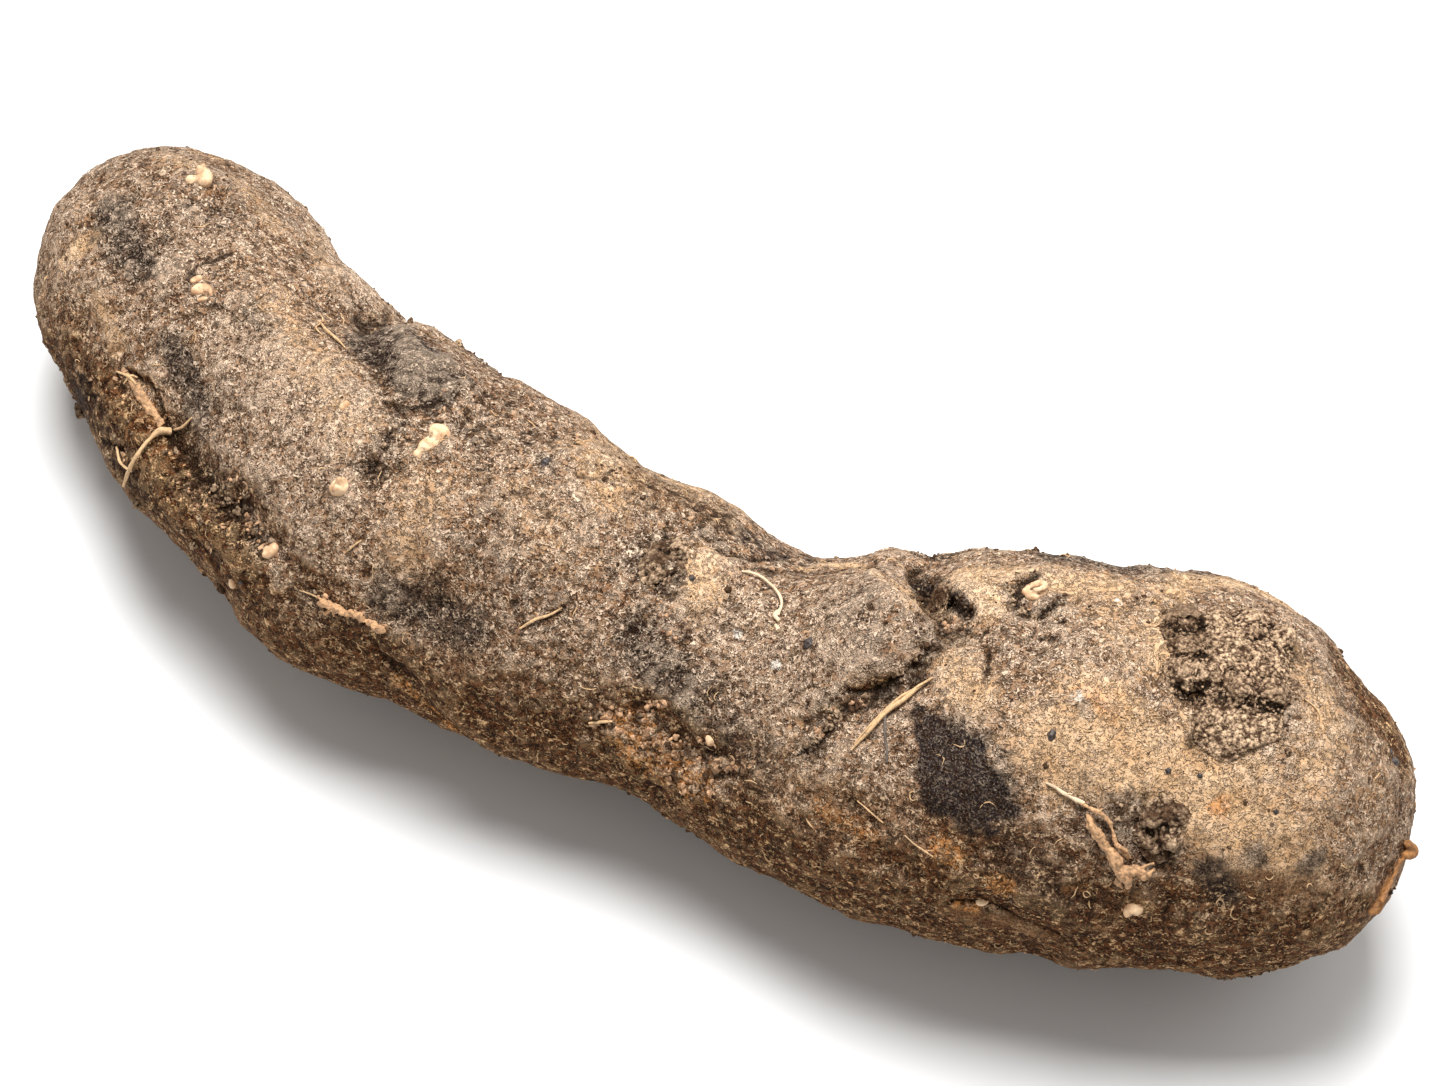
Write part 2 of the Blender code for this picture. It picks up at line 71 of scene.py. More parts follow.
# Patches on the seen side, as pixels of the photograph: kind, one end, other end, radius in pixels, strength.
PATCHES = [
    ("ochre", (704, 562), (700, 588), 24, 0.62),
    ("ochre", (600, 450), (612, 490), 34, 0.55),
    ("ochre", (948, 652), (975, 700), 24, 0.6),
    ("ochre", (1060, 745), (1170, 770), 50, 0.8),
    ("ochre", (1090, 690), (1120, 720), 26, 0.8),
    ("ochre", (1210, 790), (1280, 850), 52, 0.85),
    ("ochre", (1310, 790), (1322, 690), 28, 0.6),
    ("ochre", (1172, 590), (1160, 660), 20, 0.75),
    ("ochre", (1180, 577), (1280, 602), 22, 0.75),
    ("ochre", (990, 573), (1110, 588), 26, 0.65),
    ("ochre", (1100, 600), (1150, 660), 30, 0.4),
    ("ochre", (962, 576), (990, 604), 20, 0.8),
    ("ochre", (801, 569), (828, 564), 6, 0.7),
    ("ochre", (828, 564), (856, 565), 6, 0.8),
    ("ochre", (856, 565), (880, 576), 6, 0.85),
    ("ochre", (880, 576), (898, 590), 6, 0.8),
    ("ochre", (898, 590), (910, 606), 5, 0.6),
    ("ochre", (66, 258), (94, 236), 10, 0.9),
    ("ochre", (98, 305), (118, 342), 11, 0.55),
    ("ochre", (240, 183), (272, 225), 16, 0.45),
    ("ochre", (316, 240), (330, 280), 14, 0.35),
    ("ochre", (275, 300), (300, 345), 24, 0.35),
    ("ochre", (310, 360), (352, 425), 28, 0.35),
    ("ochre", (430, 490), (400, 560), 26, 0.4),
    ("ochre", (520, 500), (560, 560), 34, 0.25),
    ("ochre", (955, 915), (1045, 932), 13, 0.8),
    ("ochre", (1294, 652), (1310, 690), 14, 0.6),
    ("ochre", (150, 385), (112, 375), 10, 0.4),
    ("ochre", (190, 165), (165, 158), 18, 0.35),
    ("ochre", (1340, 700), (1375, 800), 34, 0.25),
    ("ochre", (780, 740), (830, 790), 34, 0.2),
    ("pale", (240, 350), (330, 420), 52, 0.8),
    ("pale", (290, 440), (330, 500), 40, 0.45),
    ("pale", (220, 235), (260, 255), 34, 0.4),
    ("pale", (735, 610), (780, 680), 42, 0.75),
    ("pale", (830, 600), (840, 650), 34, 0.6),
    ("pale", (165, 220), (190, 270), 30, 0.5),
    ("pale", (480, 440), (560, 500), 46, 0.4),
    ("pale", (1050, 640), (1130, 650), 34, 0.5),
    ("pale", (1215, 730), (1270, 735), 26, 0.7),
    ("pale", (1230, 640), (1250, 650), 26, 0.7),
    ("pale", (960, 720), (990, 712), 14, 0.7),
    ("pale", (640, 520), (700, 620), 40, 0.3),
    ("dark", (112, 215), (140, 262), 27, 0.8),
    ("dark", (160, 225), (165, 270), 24, 0.3),
    ("dark", (200, 210), (215, 215), 20, 0.45),
    ("dark", (380, 338), (428, 372), 32, 1.4),
    ("dark", (402, 372), (434, 390), 20, 1.2),
    ("dark", (354, 338), (372, 344), 13, 0.8),
    ("dark", (172, 345), (200, 412), 20, 0.75),
    ("dark", (250, 310), (262, 332), 17, 0.5),
    ("dark", (395, 595), (470, 625), 30, 0.75),
    ("dark", (470, 545), (540, 600), 40, 0.35),
    ("dark", (640, 640), (680, 690), 30, 0.7),
    ("dark", (690, 700), (760, 760), 34, 0.5),
    ("dark", (860, 595), (872, 655), 26, 0.42),
    ("dark", (725, 520), (770, 552), 24, 0.6),
    ("dark", (640, 470), (720, 520), 24, 0.4),
    ("dark", (1215, 872), (1228, 895), 17, 0.9),
    ("dark", (1255, 850), (1258, 860), 12, 0.8),
    ("dark", (1306, 866), (1318, 856), 12, 0.8),
    ("dark", (1010, 850), (1060, 900), 34, 0.45),
    ("dark", (1300, 660), (1360, 730), 22, 0.35),
    ("dark", (930, 640), (950, 600), 20, 0.5),
    # Painted shadow under the thin end's root.
    ("dark", (102, 430), (138, 484), 28, 0.6),
    # Dark brown patches, partly painted shade of the lower sides.
    ("shaded_brown", (100, 410), (235, 575), 46, 1.0),
    ("shaded_brown", (66, 330), (100, 400), 30, 0.5),
    ("shaded_brown", (245, 590), (322, 645), 40, 0.5),
    ("shaded_brown", (1345, 668), (1398, 745), 34, 0.8),
    ("shaded_brown", (640, 478), (716, 516), 24, 0.5),
    ("shaded_brown", (152, 176), (228, 166), 16, 0.35),
    ("dark", (200, 440), (250, 500), 22, 0.4),
    ("dark", (1085, 790), (1100, 830), 20, 0.4),
    ("black", (932, 730), (940, 800), 15, 1.4),
    ("black", (947, 748), (962, 800), 21, 1.4),
    ("black", (972, 768), (988, 802), 19, 1.4),
    ("black", (990, 806), (1006, 808), 14, 0.9),
    ("black", (972, 826), (990, 830), 11, 0.7),
    ("black", (918, 710), (932, 730), 9, 0.8),
    ("dark", (955, 724), (984, 742), 13, 0.6),
    ("dark", (1000, 756), (1010, 790), 12, 0.6),
    # These two black marks lie in the deep pit of the fold: painted shade.
    ("black", (918, 578), (934, 592), 10, 0.9),
    ("black", (955, 600), (966, 610), 7, 0.8),
    ("rust", (941, 851), (951, 857), 12, 0.9),
    ("rust", (996, 884), (1004, 887), 12, 1.0),
    ("rust", (962, 904), (972, 908), 8, 0.8),
    ("rust", (398, 680), (452, 726), 8, 0.8),
    ("rust", (1216, 806), (1222, 804), 9, 0.7),
    ("rust", (820, 806), (868, 836), 12, 0.5),
    ("rust", (140, 395), (165, 425), 8, 0.6),
    ("rust", (632, 735), (692, 780), 26, 0.75),
    ("rust", (1404, 850), (1372, 905), 8, 0.9),
    ("rust", (1070, 890), (1082, 886), 9, 0.5),
    ("rust", (650, 712), (666, 704), 10, 0.5),
    ("rust", (1084, 690), (1110, 715), 12, 0.5),
    ("rust", (1270, 800), (1320, 790), 12, 0.3),
    ("soil", (648, 548), (664, 580), 20, 1.1),
    ("soil", (922, 578), (938, 600), 14, 1.2),
    ("soil", (960, 606), (968, 612), 10, 0.9),
    ("soil", (1014, 588), (1016, 604), 9, 1.2),
    ("soil", (1022, 613), (1046, 612), 8, 1.2),
    ("soil", (1024, 582), (1036, 572), 6, 1.1),
    ("soil", (1052, 604), (1062, 598), 5, 0.9),
    ("soil", (1128, 815), (1156, 852), 22, 0.9),
    ("soil", (600, 722), (700, 760), 14, 0.35),
    ("soil", (655, 772), (706, 793), 14, 0.35),
    ("soil", (190, 485), (255, 545), 24, 0.6),
    ("soil", (366, 462), (376, 470), 13, 1.0),
    ("soil", (398, 425), (382, 452), 12, 0.7),
    ("soil", (462, 428), (482, 445), 11, 0.7),
    ("soil", (838, 702), (815, 742), 16, 0.8),
    ("soil", (880, 692), (935, 650), 9, 0.8),
    ("soil", (1076, 696), (1084, 706), 12, 0.5),
    ("soil", (540, 458), (548, 466), 9, 0.8),
    ("soil", (160, 410), (172, 436), 8, 0.5),
    ("soil", (700, 530), (720, 545), 12, 0.7),
    ("soil", (480, 455), (500, 520), 16, 0.4),
    ("soil", (1170, 600), (1180, 680), 14, 0.5),
    ("soil", (1200, 745), (1290, 720), 16, 0.4),
    ("soil", (310, 600), (385, 630), 12, 0.6),
    ("soil", (910, 620), (960, 640), 16, 0.5),
    ("crumb", (470, 410), (620, 470), 36, 0.8),
    ("crumb", (640, 500), (800, 560), 26, 0.8),
    ("crumb", (100, 400), (240, 560), 36, 0.9),
    ("crumb", (66, 330), (92, 415), 22, 0.7),
    ("crumb", (600, 730), (710, 790), 36, 1.0),
    ("crumb", (800, 710), (860, 700), 26, 0.9),
    ("crumb", (905, 620), (960, 640), 26, 0.9),
    ("crumb", (1005, 610), (1060, 630), 26, 0.6),
    ("crumb", (640, 560), (680, 640), 30, 0.6),
    ("crumb", (380, 430), (500, 440), 22, 0.6),
    ("crumb", (1170, 610), (1290, 740), 46, 0.7),
    ("crumb", (370, 320), (432, 336), 22, 0.6),
    ("white", (1077, 695), (1080, 699), 4, 1.0),
    ("white", (774, 664), (778, 667), 4, 0.9),
    ("white", (736, 632), (738, 636), 4, 0.8),
    ("white", (1118, 600), (1120, 603), 3, 0.8),
]
PATCH_KINDS = ("ochre", "pale", "dark", "black", "rust", "soil", "crumb", "white", "shaded_brown", "crease")

# Fine creases on the seen side: pixels along each, half width in pixels, depth in millimetres, darkness of
# the painted shade along each.
CREASES = [
    ([(190, 272), (203, 263), (218, 259), (234, 252)], 2.6, 0.3, 0.35),
    ([(187, 290), (187, 281), (191, 273)], 3.0, 0.6, 1.0),
    ([(206, 304), (222, 308), (240, 316)], 3.5, 0.25, 0.35),
    ([(248, 304), (258, 297), (268, 293)], 3.0, 0.3, 0.5),
    ([(150, 388), (140, 380), (128, 372)], 3.5, 0.7, 0.7),
    ([(146, 378), (157, 398), (166, 420), (172, 440)], 2.8, 0.45, 0.6),
    # Under the thin end's root: a hollow, darkened as painted shadow.
    ([(104, 442), (122, 450), (140, 446)], 4.0, 0.5, 0.5),
    ([(172, 440), (205, 480), (240, 520), (262, 548)], 8.0, 0.5, 0.35),
    ([(386, 403), (410, 408), (432, 404), (446, 400)], 2.6, 0.4, 0.8),
    ([(474, 430), (450, 458), (420, 466)], 3.0, 0.25, 0.25),
    ([(398, 425), (384, 448), (368, 470)], 4.0, 0.35, 0.4),
    ([(914, 566), (918, 580), (930, 596)], 8.0, 1.5, 1.0),
    ([(930, 596), (945, 603), (966, 611)], 6.0, 1.2, 0.9),
    ([(946, 618), (927, 653), (903, 675), (880, 690)], 3.5, 0.5, 0.45),
    ([(884, 689), (868, 694), (850, 692)], 3.5, 0.6, 1.0),
    ([(850, 695), (838, 720), (815, 745), (800, 752)], 3.5, 0.2, 0.2),
    ([(968, 630), (990, 653), (987, 675)], 3.0, 0.45, 0.5),
    ([(872, 566), (896, 586), (912, 608)], 3.0, 0.4, 0.4),
    ([(372, 640), (400, 680), (435, 715), (464, 736)], 3.0, 0.25, 0.3),
    ([(950, 902), (985, 903), (1010, 913), (1060, 935)], 3.0, 0.4, 0.35),
    ([(530, 625), (562, 610)], 3.5, 0.3, 0.4),
    ([(1034, 574), (1020, 584), (1015, 600), (1024, 614), (1040, 615), (1058, 601)], 4.0, 0.8, 0.9),
    ([(640, 560), (662, 590), (672, 598)], 4.0, 0.6, 0.7),
    ([(700, 545), (730, 556), (780, 560)], 4.0, 0.4, 0.4),
]


def rgb(red, green, blue):
    """A colour given as on a screen, 0 to 255, in the linear values that a shader takes."""
    return tuple(((c / 255 + 0.055) / 1.055) ** 2.4 if c > 10 else c / 255 / 12.92
                 for c in (red, green, blue))


def colour_property(name, text, screen):
    return FloatVectorProperty(name=name, description=text, default=rgb(*screen), subtype="COLOR",
                               min=0, max=1)


def length_property(name, text, metres):
    return FloatProperty(name=name, description=text, default=metres, unit="LENGTH", subtype="DISTANCE")


class PotatoSettings(bpy.types.PropertyGroup):
    skin_voxel: length_property("Skin fineness", "Size of the facets of the fine skin", 0.00062)
    wart_height: length_property("Wart height", "How far the small warts of the skin stand out", 0.00016)
    crumb_height: length_property("Crumb height", "How far crumbs of dried soil stand out", 0.0004)
    grain_count: IntProperty(name="Grains", default=2400,
                             description="How many loose grains of soil lie on the skin")
    hair_count: IntProperty(name="Root hairs", default=240,
                            description="How many fine dry root hairs cling to the skin")
    flake_count: IntProperty(name="Skin flakes", default=260,
                             description="How many peeling flakes of skin there are")
    tan: colour_property("Tan", "The skin's middle colour", (158, 120, 88))
    brown: colour_property("Brown", "The skin's darker brown", (122, 86, 57))
    grey: colour_property("Grey dust", "Dry dust over the skin", (170, 140, 114))
    shade: colour_property("Grey brown", "The dark grey-brown patches", (54, 46, 43))
    ochre: colour_property("Ochre", "Clean bare skin", (230, 190, 146))
    scurf: colour_property("Black scurf", "The dark fungus-like patches", (26, 25, 31))
    rust: colour_property("Rust", "Orange-brown scars", (214, 144, 80))
    # The dark brown of the lower sides, which also stands in for painted shade there.
    shaded_brown: colour_property("Shaded brown", "The damp skin of the lower sides", (95, 53, 24))
    soil: colour_property("Soil", "Dried soil", (118, 98, 82))
    bud: colour_property("Buds", "Pale buds and sprouts", (234, 200, 160))
    straw: colour_property("Dry root", "Straw-coloured roots", (226, 186, 138))
    floor: colour_property("Floor", "The pale floor", (240, 240, 240))


def settings():
    return bpy.context.scene.potato


# Reading places off the photograph


def pixel_ray(x, y):
    across = (x - PHOTO_WIDE / 2) / PHOTO_WIDE * SENSOR_MM / LENS_MM
    upward = -(y - PHOTO_HIGH / 2) / PHOTO_WIDE * SENSOR_MM / LENS_MM
    return (RIGHT * across + UP * upward - BACK).normalized()


class Surface:
    """A skin to lay things on."""

    def __init__(self, made):
        self.made = made
        self.tree = BVHTree.FromObject(made, bpy.context.evaluated_depsgraph_get())

    def seen(self, x, y):
        """The point on the skin at this pixel of the photograph, and the way out of it."""
        for dx, dy in ((0, 0), (0, 3), (0, -3), (3, 0), (-3, 0), (0, 8), (0, -8), (8, 0), (-8, 0), (-14, -8)):
            point, out, _, _ = self.tree.ray_cast(EYE, pixel_ray(x + dx, y + dy))
            if point is not None:
                return point, out
        raise ValueError(f"nothing is seen at pixel {x}, {y}")

    def near(self, point):
        found, out, _, _ = self.tree.find_nearest(point)
        return found, out


# Shaping meshes as arrays of points


def object_from(name, mesh):
    made = bpy.data.objects.new(name, mesh)
    bpy.context.scene.collection.objects.link(made)
    return made


def applied(made):
    """The object with its modifiers, or its curve's bevel, turned into a plain mesh."""
    mesh = bpy.data.meshes.new_from_object(made.evaluated_get(bpy.context.evaluated_depsgraph_get()))
    name = made.name
    bpy.data.objects.remove(made)
    return object_from(name, mesh)


def remeshed(made, voxel):
    remesh = made.modifiers.new("even", "REMESH")
    remesh.mode = "VOXEL"
    remesh.voxel_size = voxel
    return applied(made)


def fine_copy(node, name, voxel):
    """A finely meshed copy of a CAD node, ready to be shaped."""
    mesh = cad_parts[node].data.copy()
    mesh.materials.clear()
    bm = bmesh.new()
    bm.from_mesh(mesh)
    bmesh.ops.remove_doubles(bm, verts=bm.verts, dist=1e-6)
    bm.to_mesh(mesh)
    bm.free()
    return remeshed(object_from(name, mesh), voxel)


def points_of(mesh):
    points = np.empty(len(mesh.vertices) * 3)
    mesh.vertices.foreach_get("co", points)
    return points.reshape(-1, 3)


def set_points(mesh, points):
    mesh.vertices.foreach_set("co", np.ascontiguousarray(points).ravel())
    mesh.update()


def outward_of(mesh):
    ways = np.empty(len(mesh.vertices) * 3)
    mesh.vertex_normals.foreach_get("vector", ways)
    return ways.reshape(-1, 3)


def edges_of(mesh):
    edges = np.empty(len(mesh.edges) * 2, np.int32)
    mesh.edges.foreach_get("vertices", edges)
    return edges.reshape(-1, 2)


def eased(values, edges, rounds, share=0.6):
    """Values at the points, each drawn towards the middle of its neighbours' some times."""
    values = np.array(values, float).reshape(len(values), -1)
    count = len(values)
    degree = np.bincount(edges.ravel(), minlength=count)[:, None]
    for _ in range(rounds):
        total = np.empty_like(values)
        for k in range(values.shape[1]):
            column = values[:, k]
            total[:, k] = np.bincount(edges[:, 0], column[edges[:, 1]], count)
            total[:, k] += np.bincount(edges[:, 1], column[edges[:, 0]], count)
        values += share * (total / degree - values)
    return values


def ease_in(values, low, high):
    t = np.clip((values - low) / (high - low), 0, 1)
    return t * t * (3 - 2 * t)


def rough_noise(points, spacing, octaves=3, shift=0.0):
    """Even noise at the points, from about -1 to 1, with swells this far apart."""
    scaled = points / spacing + shift
    return np.array([noise.fractal(p, 1.0, 2.0, octaves) for p in scaled])


def worms(points, spacing, width, shift=0.0):
    """1 along thin winding lines about this far apart, 0 between them."""
    lines = np.array([noise.noise(p) for p in points / spacing + shift])
    gate = np.array([noise.noise(p) for p in points / (spacing * 1.6) + shift + 31.0])
    return np.clip(1 - np.abs(lines) / width, 0, 1) * ease_in(gate, -0.05, 0.15)


def pebbles(points, spacing, shift=0.0):
    """1 at the middle of rounded cells about this far apart, 0 at their edges."""
    found = np.array([noise.voronoi(p)[0][0] for p in points / spacing + shift])
    return np.clip(1 - found * 1.5, 0, 1)


def segment_distance(points, one, two):
    one, two = np.array(one), np.array(two)
    way = two - one
    t = np.clip((points - one) @ way / max(way @ way, 1e-12), 0, 1)
    return np.linalg.norm(points - one - t[:, None] * way, axis=1)


def line_distance(points, line, reach):
    """How far each point is from the line through these places, at most the reach."""
    found = np.full(len(points), reach)
    middle, size = np.mean(line, axis=0), np.ptp(line, axis=0).max() + reach
    close = np.where(np.abs(points - middle).max(axis=1) < size)[0]
    for one, two in zip(line, line[1:]):
        found[close] = np.minimum(found[close], segment_distance(points[close], one, two))
    return found


def store(mesh, name, values):
    mesh.attributes.new(name, "FLOAT", "POINT").data.foreach_set("value", np.asarray(values, np.float32))


def attribute_of(mesh, name):
    values = np.empty(len(mesh.vertices), np.float32)
    mesh.attributes[name].data.foreach_get("value", values)
    return np.clip(values.astype(float), 0, 1)


def finish_piece(made, coat, replaced=()):
    """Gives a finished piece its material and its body."""
    made.data.materials.clear()
    made.data.materials.append(coat)
    made.data.shade_smooth()
    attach(made, "root")
    if replaced:
        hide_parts(*replaced)
    return made


# Building shader nodes


class Graph:
    """Short ways to add and join shader nodes."""

    def __init__(self, tree):
        self.tree = tree

    def put(self, socket, value):
        if isinstance(value, bpy.types.NodeSocket):
            self.tree.links.new(value, socket)
        elif hasattr(value, "__len__") and socket.type == "RGBA" and len(value) == 3:
            socket.default_value = (*value, 1.0)
        else:
            socket.default_value = value

    def add(self, kind, inputs=(), **facts):
        made = self.tree.nodes.new(kind)
        for key, value in facts.items():
            setattr(made, key, value)
        for key, value in dict(inputs).items():
            self.put(made.inputs[key], value)
        return made

    def noise(self, vector, scale, detail=2.0, roughness=0.5, distortion=0.0):
        return self.add("ShaderNodeTexNoise", {
            "Vector": vector, "Scale": scale, "Detail": detail, "Roughness": roughness,
            "Distortion": distortion}).outputs["Fac"]

    def cells(self, vector, scale, feature="F1", randomness=1.0):
        return self.add("ShaderNodeTexVoronoi", {"Vector": vector, "Scale": scale, "Randomness": randomness},
                        feature=feature)

    def math(self, operation, one, two=0.0, three=None, clamp=False):
        made = self.add("ShaderNodeMath", operation=operation, use_clamp=clamp)
        self.put(made.inputs[0], one)
        self.put(made.inputs[1], two)
        if three is not None:
            self.put(made.inputs[2], three)
        return made.outputs[0]

    def ease(self, value, low, high, start=0.0, end=1.0):
        return self.add("ShaderNodeMapRange", {
            "Value": value, "From Min": low, "From Max": high, "To Min": start, "To Max": end},
            interpolation_type="SMOOTHSTEP").outputs["Result"]

    def mix(self, share, one, two, blend="MIX"):
        made = self.add("ShaderNodeMix", data_type="RGBA", blend_type=blend)
        self.put(made.inputs[0], share)
        self.put(made.inputs[6], one)
        self.put(made.inputs[7], two)
        return made.outputs[2]

    def moved(self, vector, by):
        aside = (by, by * 0.7, -by)
        return self.add("ShaderNodeVectorMath", {0: vector, 1: aside}, operation="ADD").outputs[0]

    def group(self, tree, inputs):
        made = self.tree.nodes.new("ShaderNodeGroup")
        made.node_tree = tree
        for key, value in inputs.items():
            self.put(made.inputs[key], value)
        return made.outputs

    def attribute(self, name):
        return self.add("ShaderNodeAttribute", attribute_name=name).outputs["Fac"]


def new_group(name, inputs, outputs):
    """An empty node group with these sockets: name and default, or only the name for a vector."""
    tree = bpy.data.node_groups.new(name, "ShaderNodeTree")
    for entry in inputs:
        if isinstance(entry, str):
            tree.interface.new_socket(entry, in_out="INPUT", socket_type="NodeSocketVector")
        else:
            made = tree.interface.new_socket(entry[0], in_out="INPUT", socket_type="NodeSocketFloat")
            made.default_value = entry[1]
    for entry in outputs:
        tree.interface.new_socket(entry, in_out="OUTPUT", socket_type="NodeSocketFloat")
    graph = Graph(tree)
    return tree, graph, graph.add("NodeGroupInput").outputs, graph.add("NodeGroupOutput").inputs


def worm_group():
    """Short winding flecks: light ridges, and dark pits between them, partly the skin's own colour and partly
    painted highlight and shade of its fine ridges.
    """
    tree, g, given, made = new_group(
        "winding_flecks", ["Vector", ("Scale", 1.0), ("More light", 0.0), ("More dark", 0.0)],
        ["Light", "Dark", "Grain"])
    near = given["Vector"]

    def lines(shift, scale, width, bend):
        field = g.noise(g.moved(near, shift), g.math("MULTIPLY", given["Scale"], scale), 0.6, 0.5, bend)
        away = g.math("ABSOLUTE", g.math("SUBTRACT", field, 0.5))
        return g.ease(away, width, width * 0.3)

    def gate(shift, scale, low, high, more):
        field = g.noise(g.moved(near, shift), g.math("MULTIPLY", given["Scale"], scale), 1.0)
        return g.ease(g.math("ADD", field, given[more]), low, high)

    light = g.math("MULTIPLY", lines(0.0, 1250.0, 0.085, 1.0), gate(0.31, 1000.0, 0.48, 0.56, "More light"))
    finer = g.math("MULTIPLY", lines(0.77, 2000.0, 0.09, 0.8), gate(0.53, 1300.0, 0.49, 0.56, "More light"))
    light = g.math("MAXIMUM", light, g.math("MULTIPLY", finer, 0.8))
    dark = g.math("MULTIPLY", lines(0.17, 1300.0, 0.085, 1.0), gate(0.92, 1000.0, 0.48, 0.55, "More dark"))
    darker = g.math("MULTIPLY", lines(0.44, 2100.0, 0.09, 0.8), gate(0.22, 1300.0, 0.49, 0.57, "More dark"))
    dark = g.math("MAXIMUM", dark, g.math("MULTIPLY", darker, 0.85))
    g.put(made["Light"], light)
    g.put(made["Dark"], g.math("MULTIPLY", dark, g.math("SUBTRACT", 1.0, light)))
    g.put(made["Grain"], g.noise(g.moved(near, 0.6), g.math("MULTIPLY", given["Scale"], 3200.0), 2.0, 0.6))
    return tree


def ragged_group():
    """A painted mask with its edge broken up as dirt breaks, over a wide or a narrow edge."""
    tree, g, given, made = new_group(
        "ragged_edge", ["Vector", ("Mask", 0.0), ("Scale", 400.0), ("Breakup", 0.8), ("Soft", 0.3)], ["Mask"])
    coarse = g.noise(given["Vector"], given["Scale"], 3.0, 0.7)
    swing = g.math("MULTIPLY", g.math("SUBTRACT", coarse, 0.5), given["Breakup"])
    low, high = g.math("SUBTRACT", 0.45, given["Soft"]), g.math("ADD", 0.45, given["Soft"])
    g.put(made["Mask"], g.ease(g.math("ADD", given["Mask"], swing), low, high))
    return tree


def grit_group():
    """Grains of dry soil: how light each is and how high it stands."""
    tree, g, given, made = new_group("grit", ["Vector", ("Scale", 1.0)], ["Tone", "Height"])
    big = g.cells(given["Vector"], g.math("MULTIPLY", given["Scale"], 1300.0))
    small = g.cells(g.moved(given["Vector"], 2.0), g.math("MULTIPLY", given["Scale"], 2900.0))
    fine = g.noise(given["Vector"], g.math("MULTIPLY", given["Scale"], 2200.0), 3.0, 0.7)
    height = g.math("ADD", g.math("MULTIPLY", big.outputs["Distance"], -0.7),
                    g.math("MULTIPLY", small.outputs["Distance"], -0.3))
    pick = g.add("ShaderNodeSeparateColor", {"Color": big.outputs["Color"]}).outputs["Red"]
    tone = g.math("ADD", g.math("MULTIPLY", pick, 0.35), g.math("MULTIPLY", fine, 0.9))
    tone = g.math("ADD", tone, g.math("MULTIPLY", height, 0.8))
    g.put(made["Tone"], g.ease(tone, 0.0, 0.65))
    g.put(made["Height"], g.math("ADD", height, g.math("MULTIPLY", fine, 0.3)))
    return tree


def pin_group():
    """Small dark pin pricks, a few here and there."""
    tree, g, given, made = new_group("pin_pricks", ["Vector", ("Scale", 300.0), ("Share", 0.5)], ["Mask"])
    spots = g.cells(given["Vector"], given["Scale"])
    keep = g.add("ShaderNodeSeparateColor", {"Color": spots.outputs["Color"]})
    size = g.math("MULTIPLY", keep.outputs["Green"], 0.16)
    there = g.math("LESS_THAN", keep.outputs["Red"], given["Share"])
    edge = g.math("SUBTRACT", size, spots.outputs["Distance"])
    g.put(made["Mask"], g.math("MULTIPLY", g.ease(edge, 0.0, 0.05), there))
    return tree


GROUPS = {}


def groups():
    if not GROUPS:
        GROUPS.update(worms=worm_group(), ragged=ragged_group(), grit=grit_group(), pins=pin_group())
    return GROUPS


def new_material(name):
    made = bpy.data.materials.new(name)
    made.use_nodes = True
    g = Graph(made.node_tree)
    shader = made.node_tree.nodes["Principled BSDF"]
    place = g.add("ShaderNodeTexCoord").outputs["Object"]
    return made, g, shader, place


def bump(g, shader, height, depth):
    shader_bump = g.add("ShaderNodeBump", {"Height": height, "Distance": depth, "Strength": 1.0})
    g.put(shader.inputs["Normal"], shader_bump.outputs["Normal"])


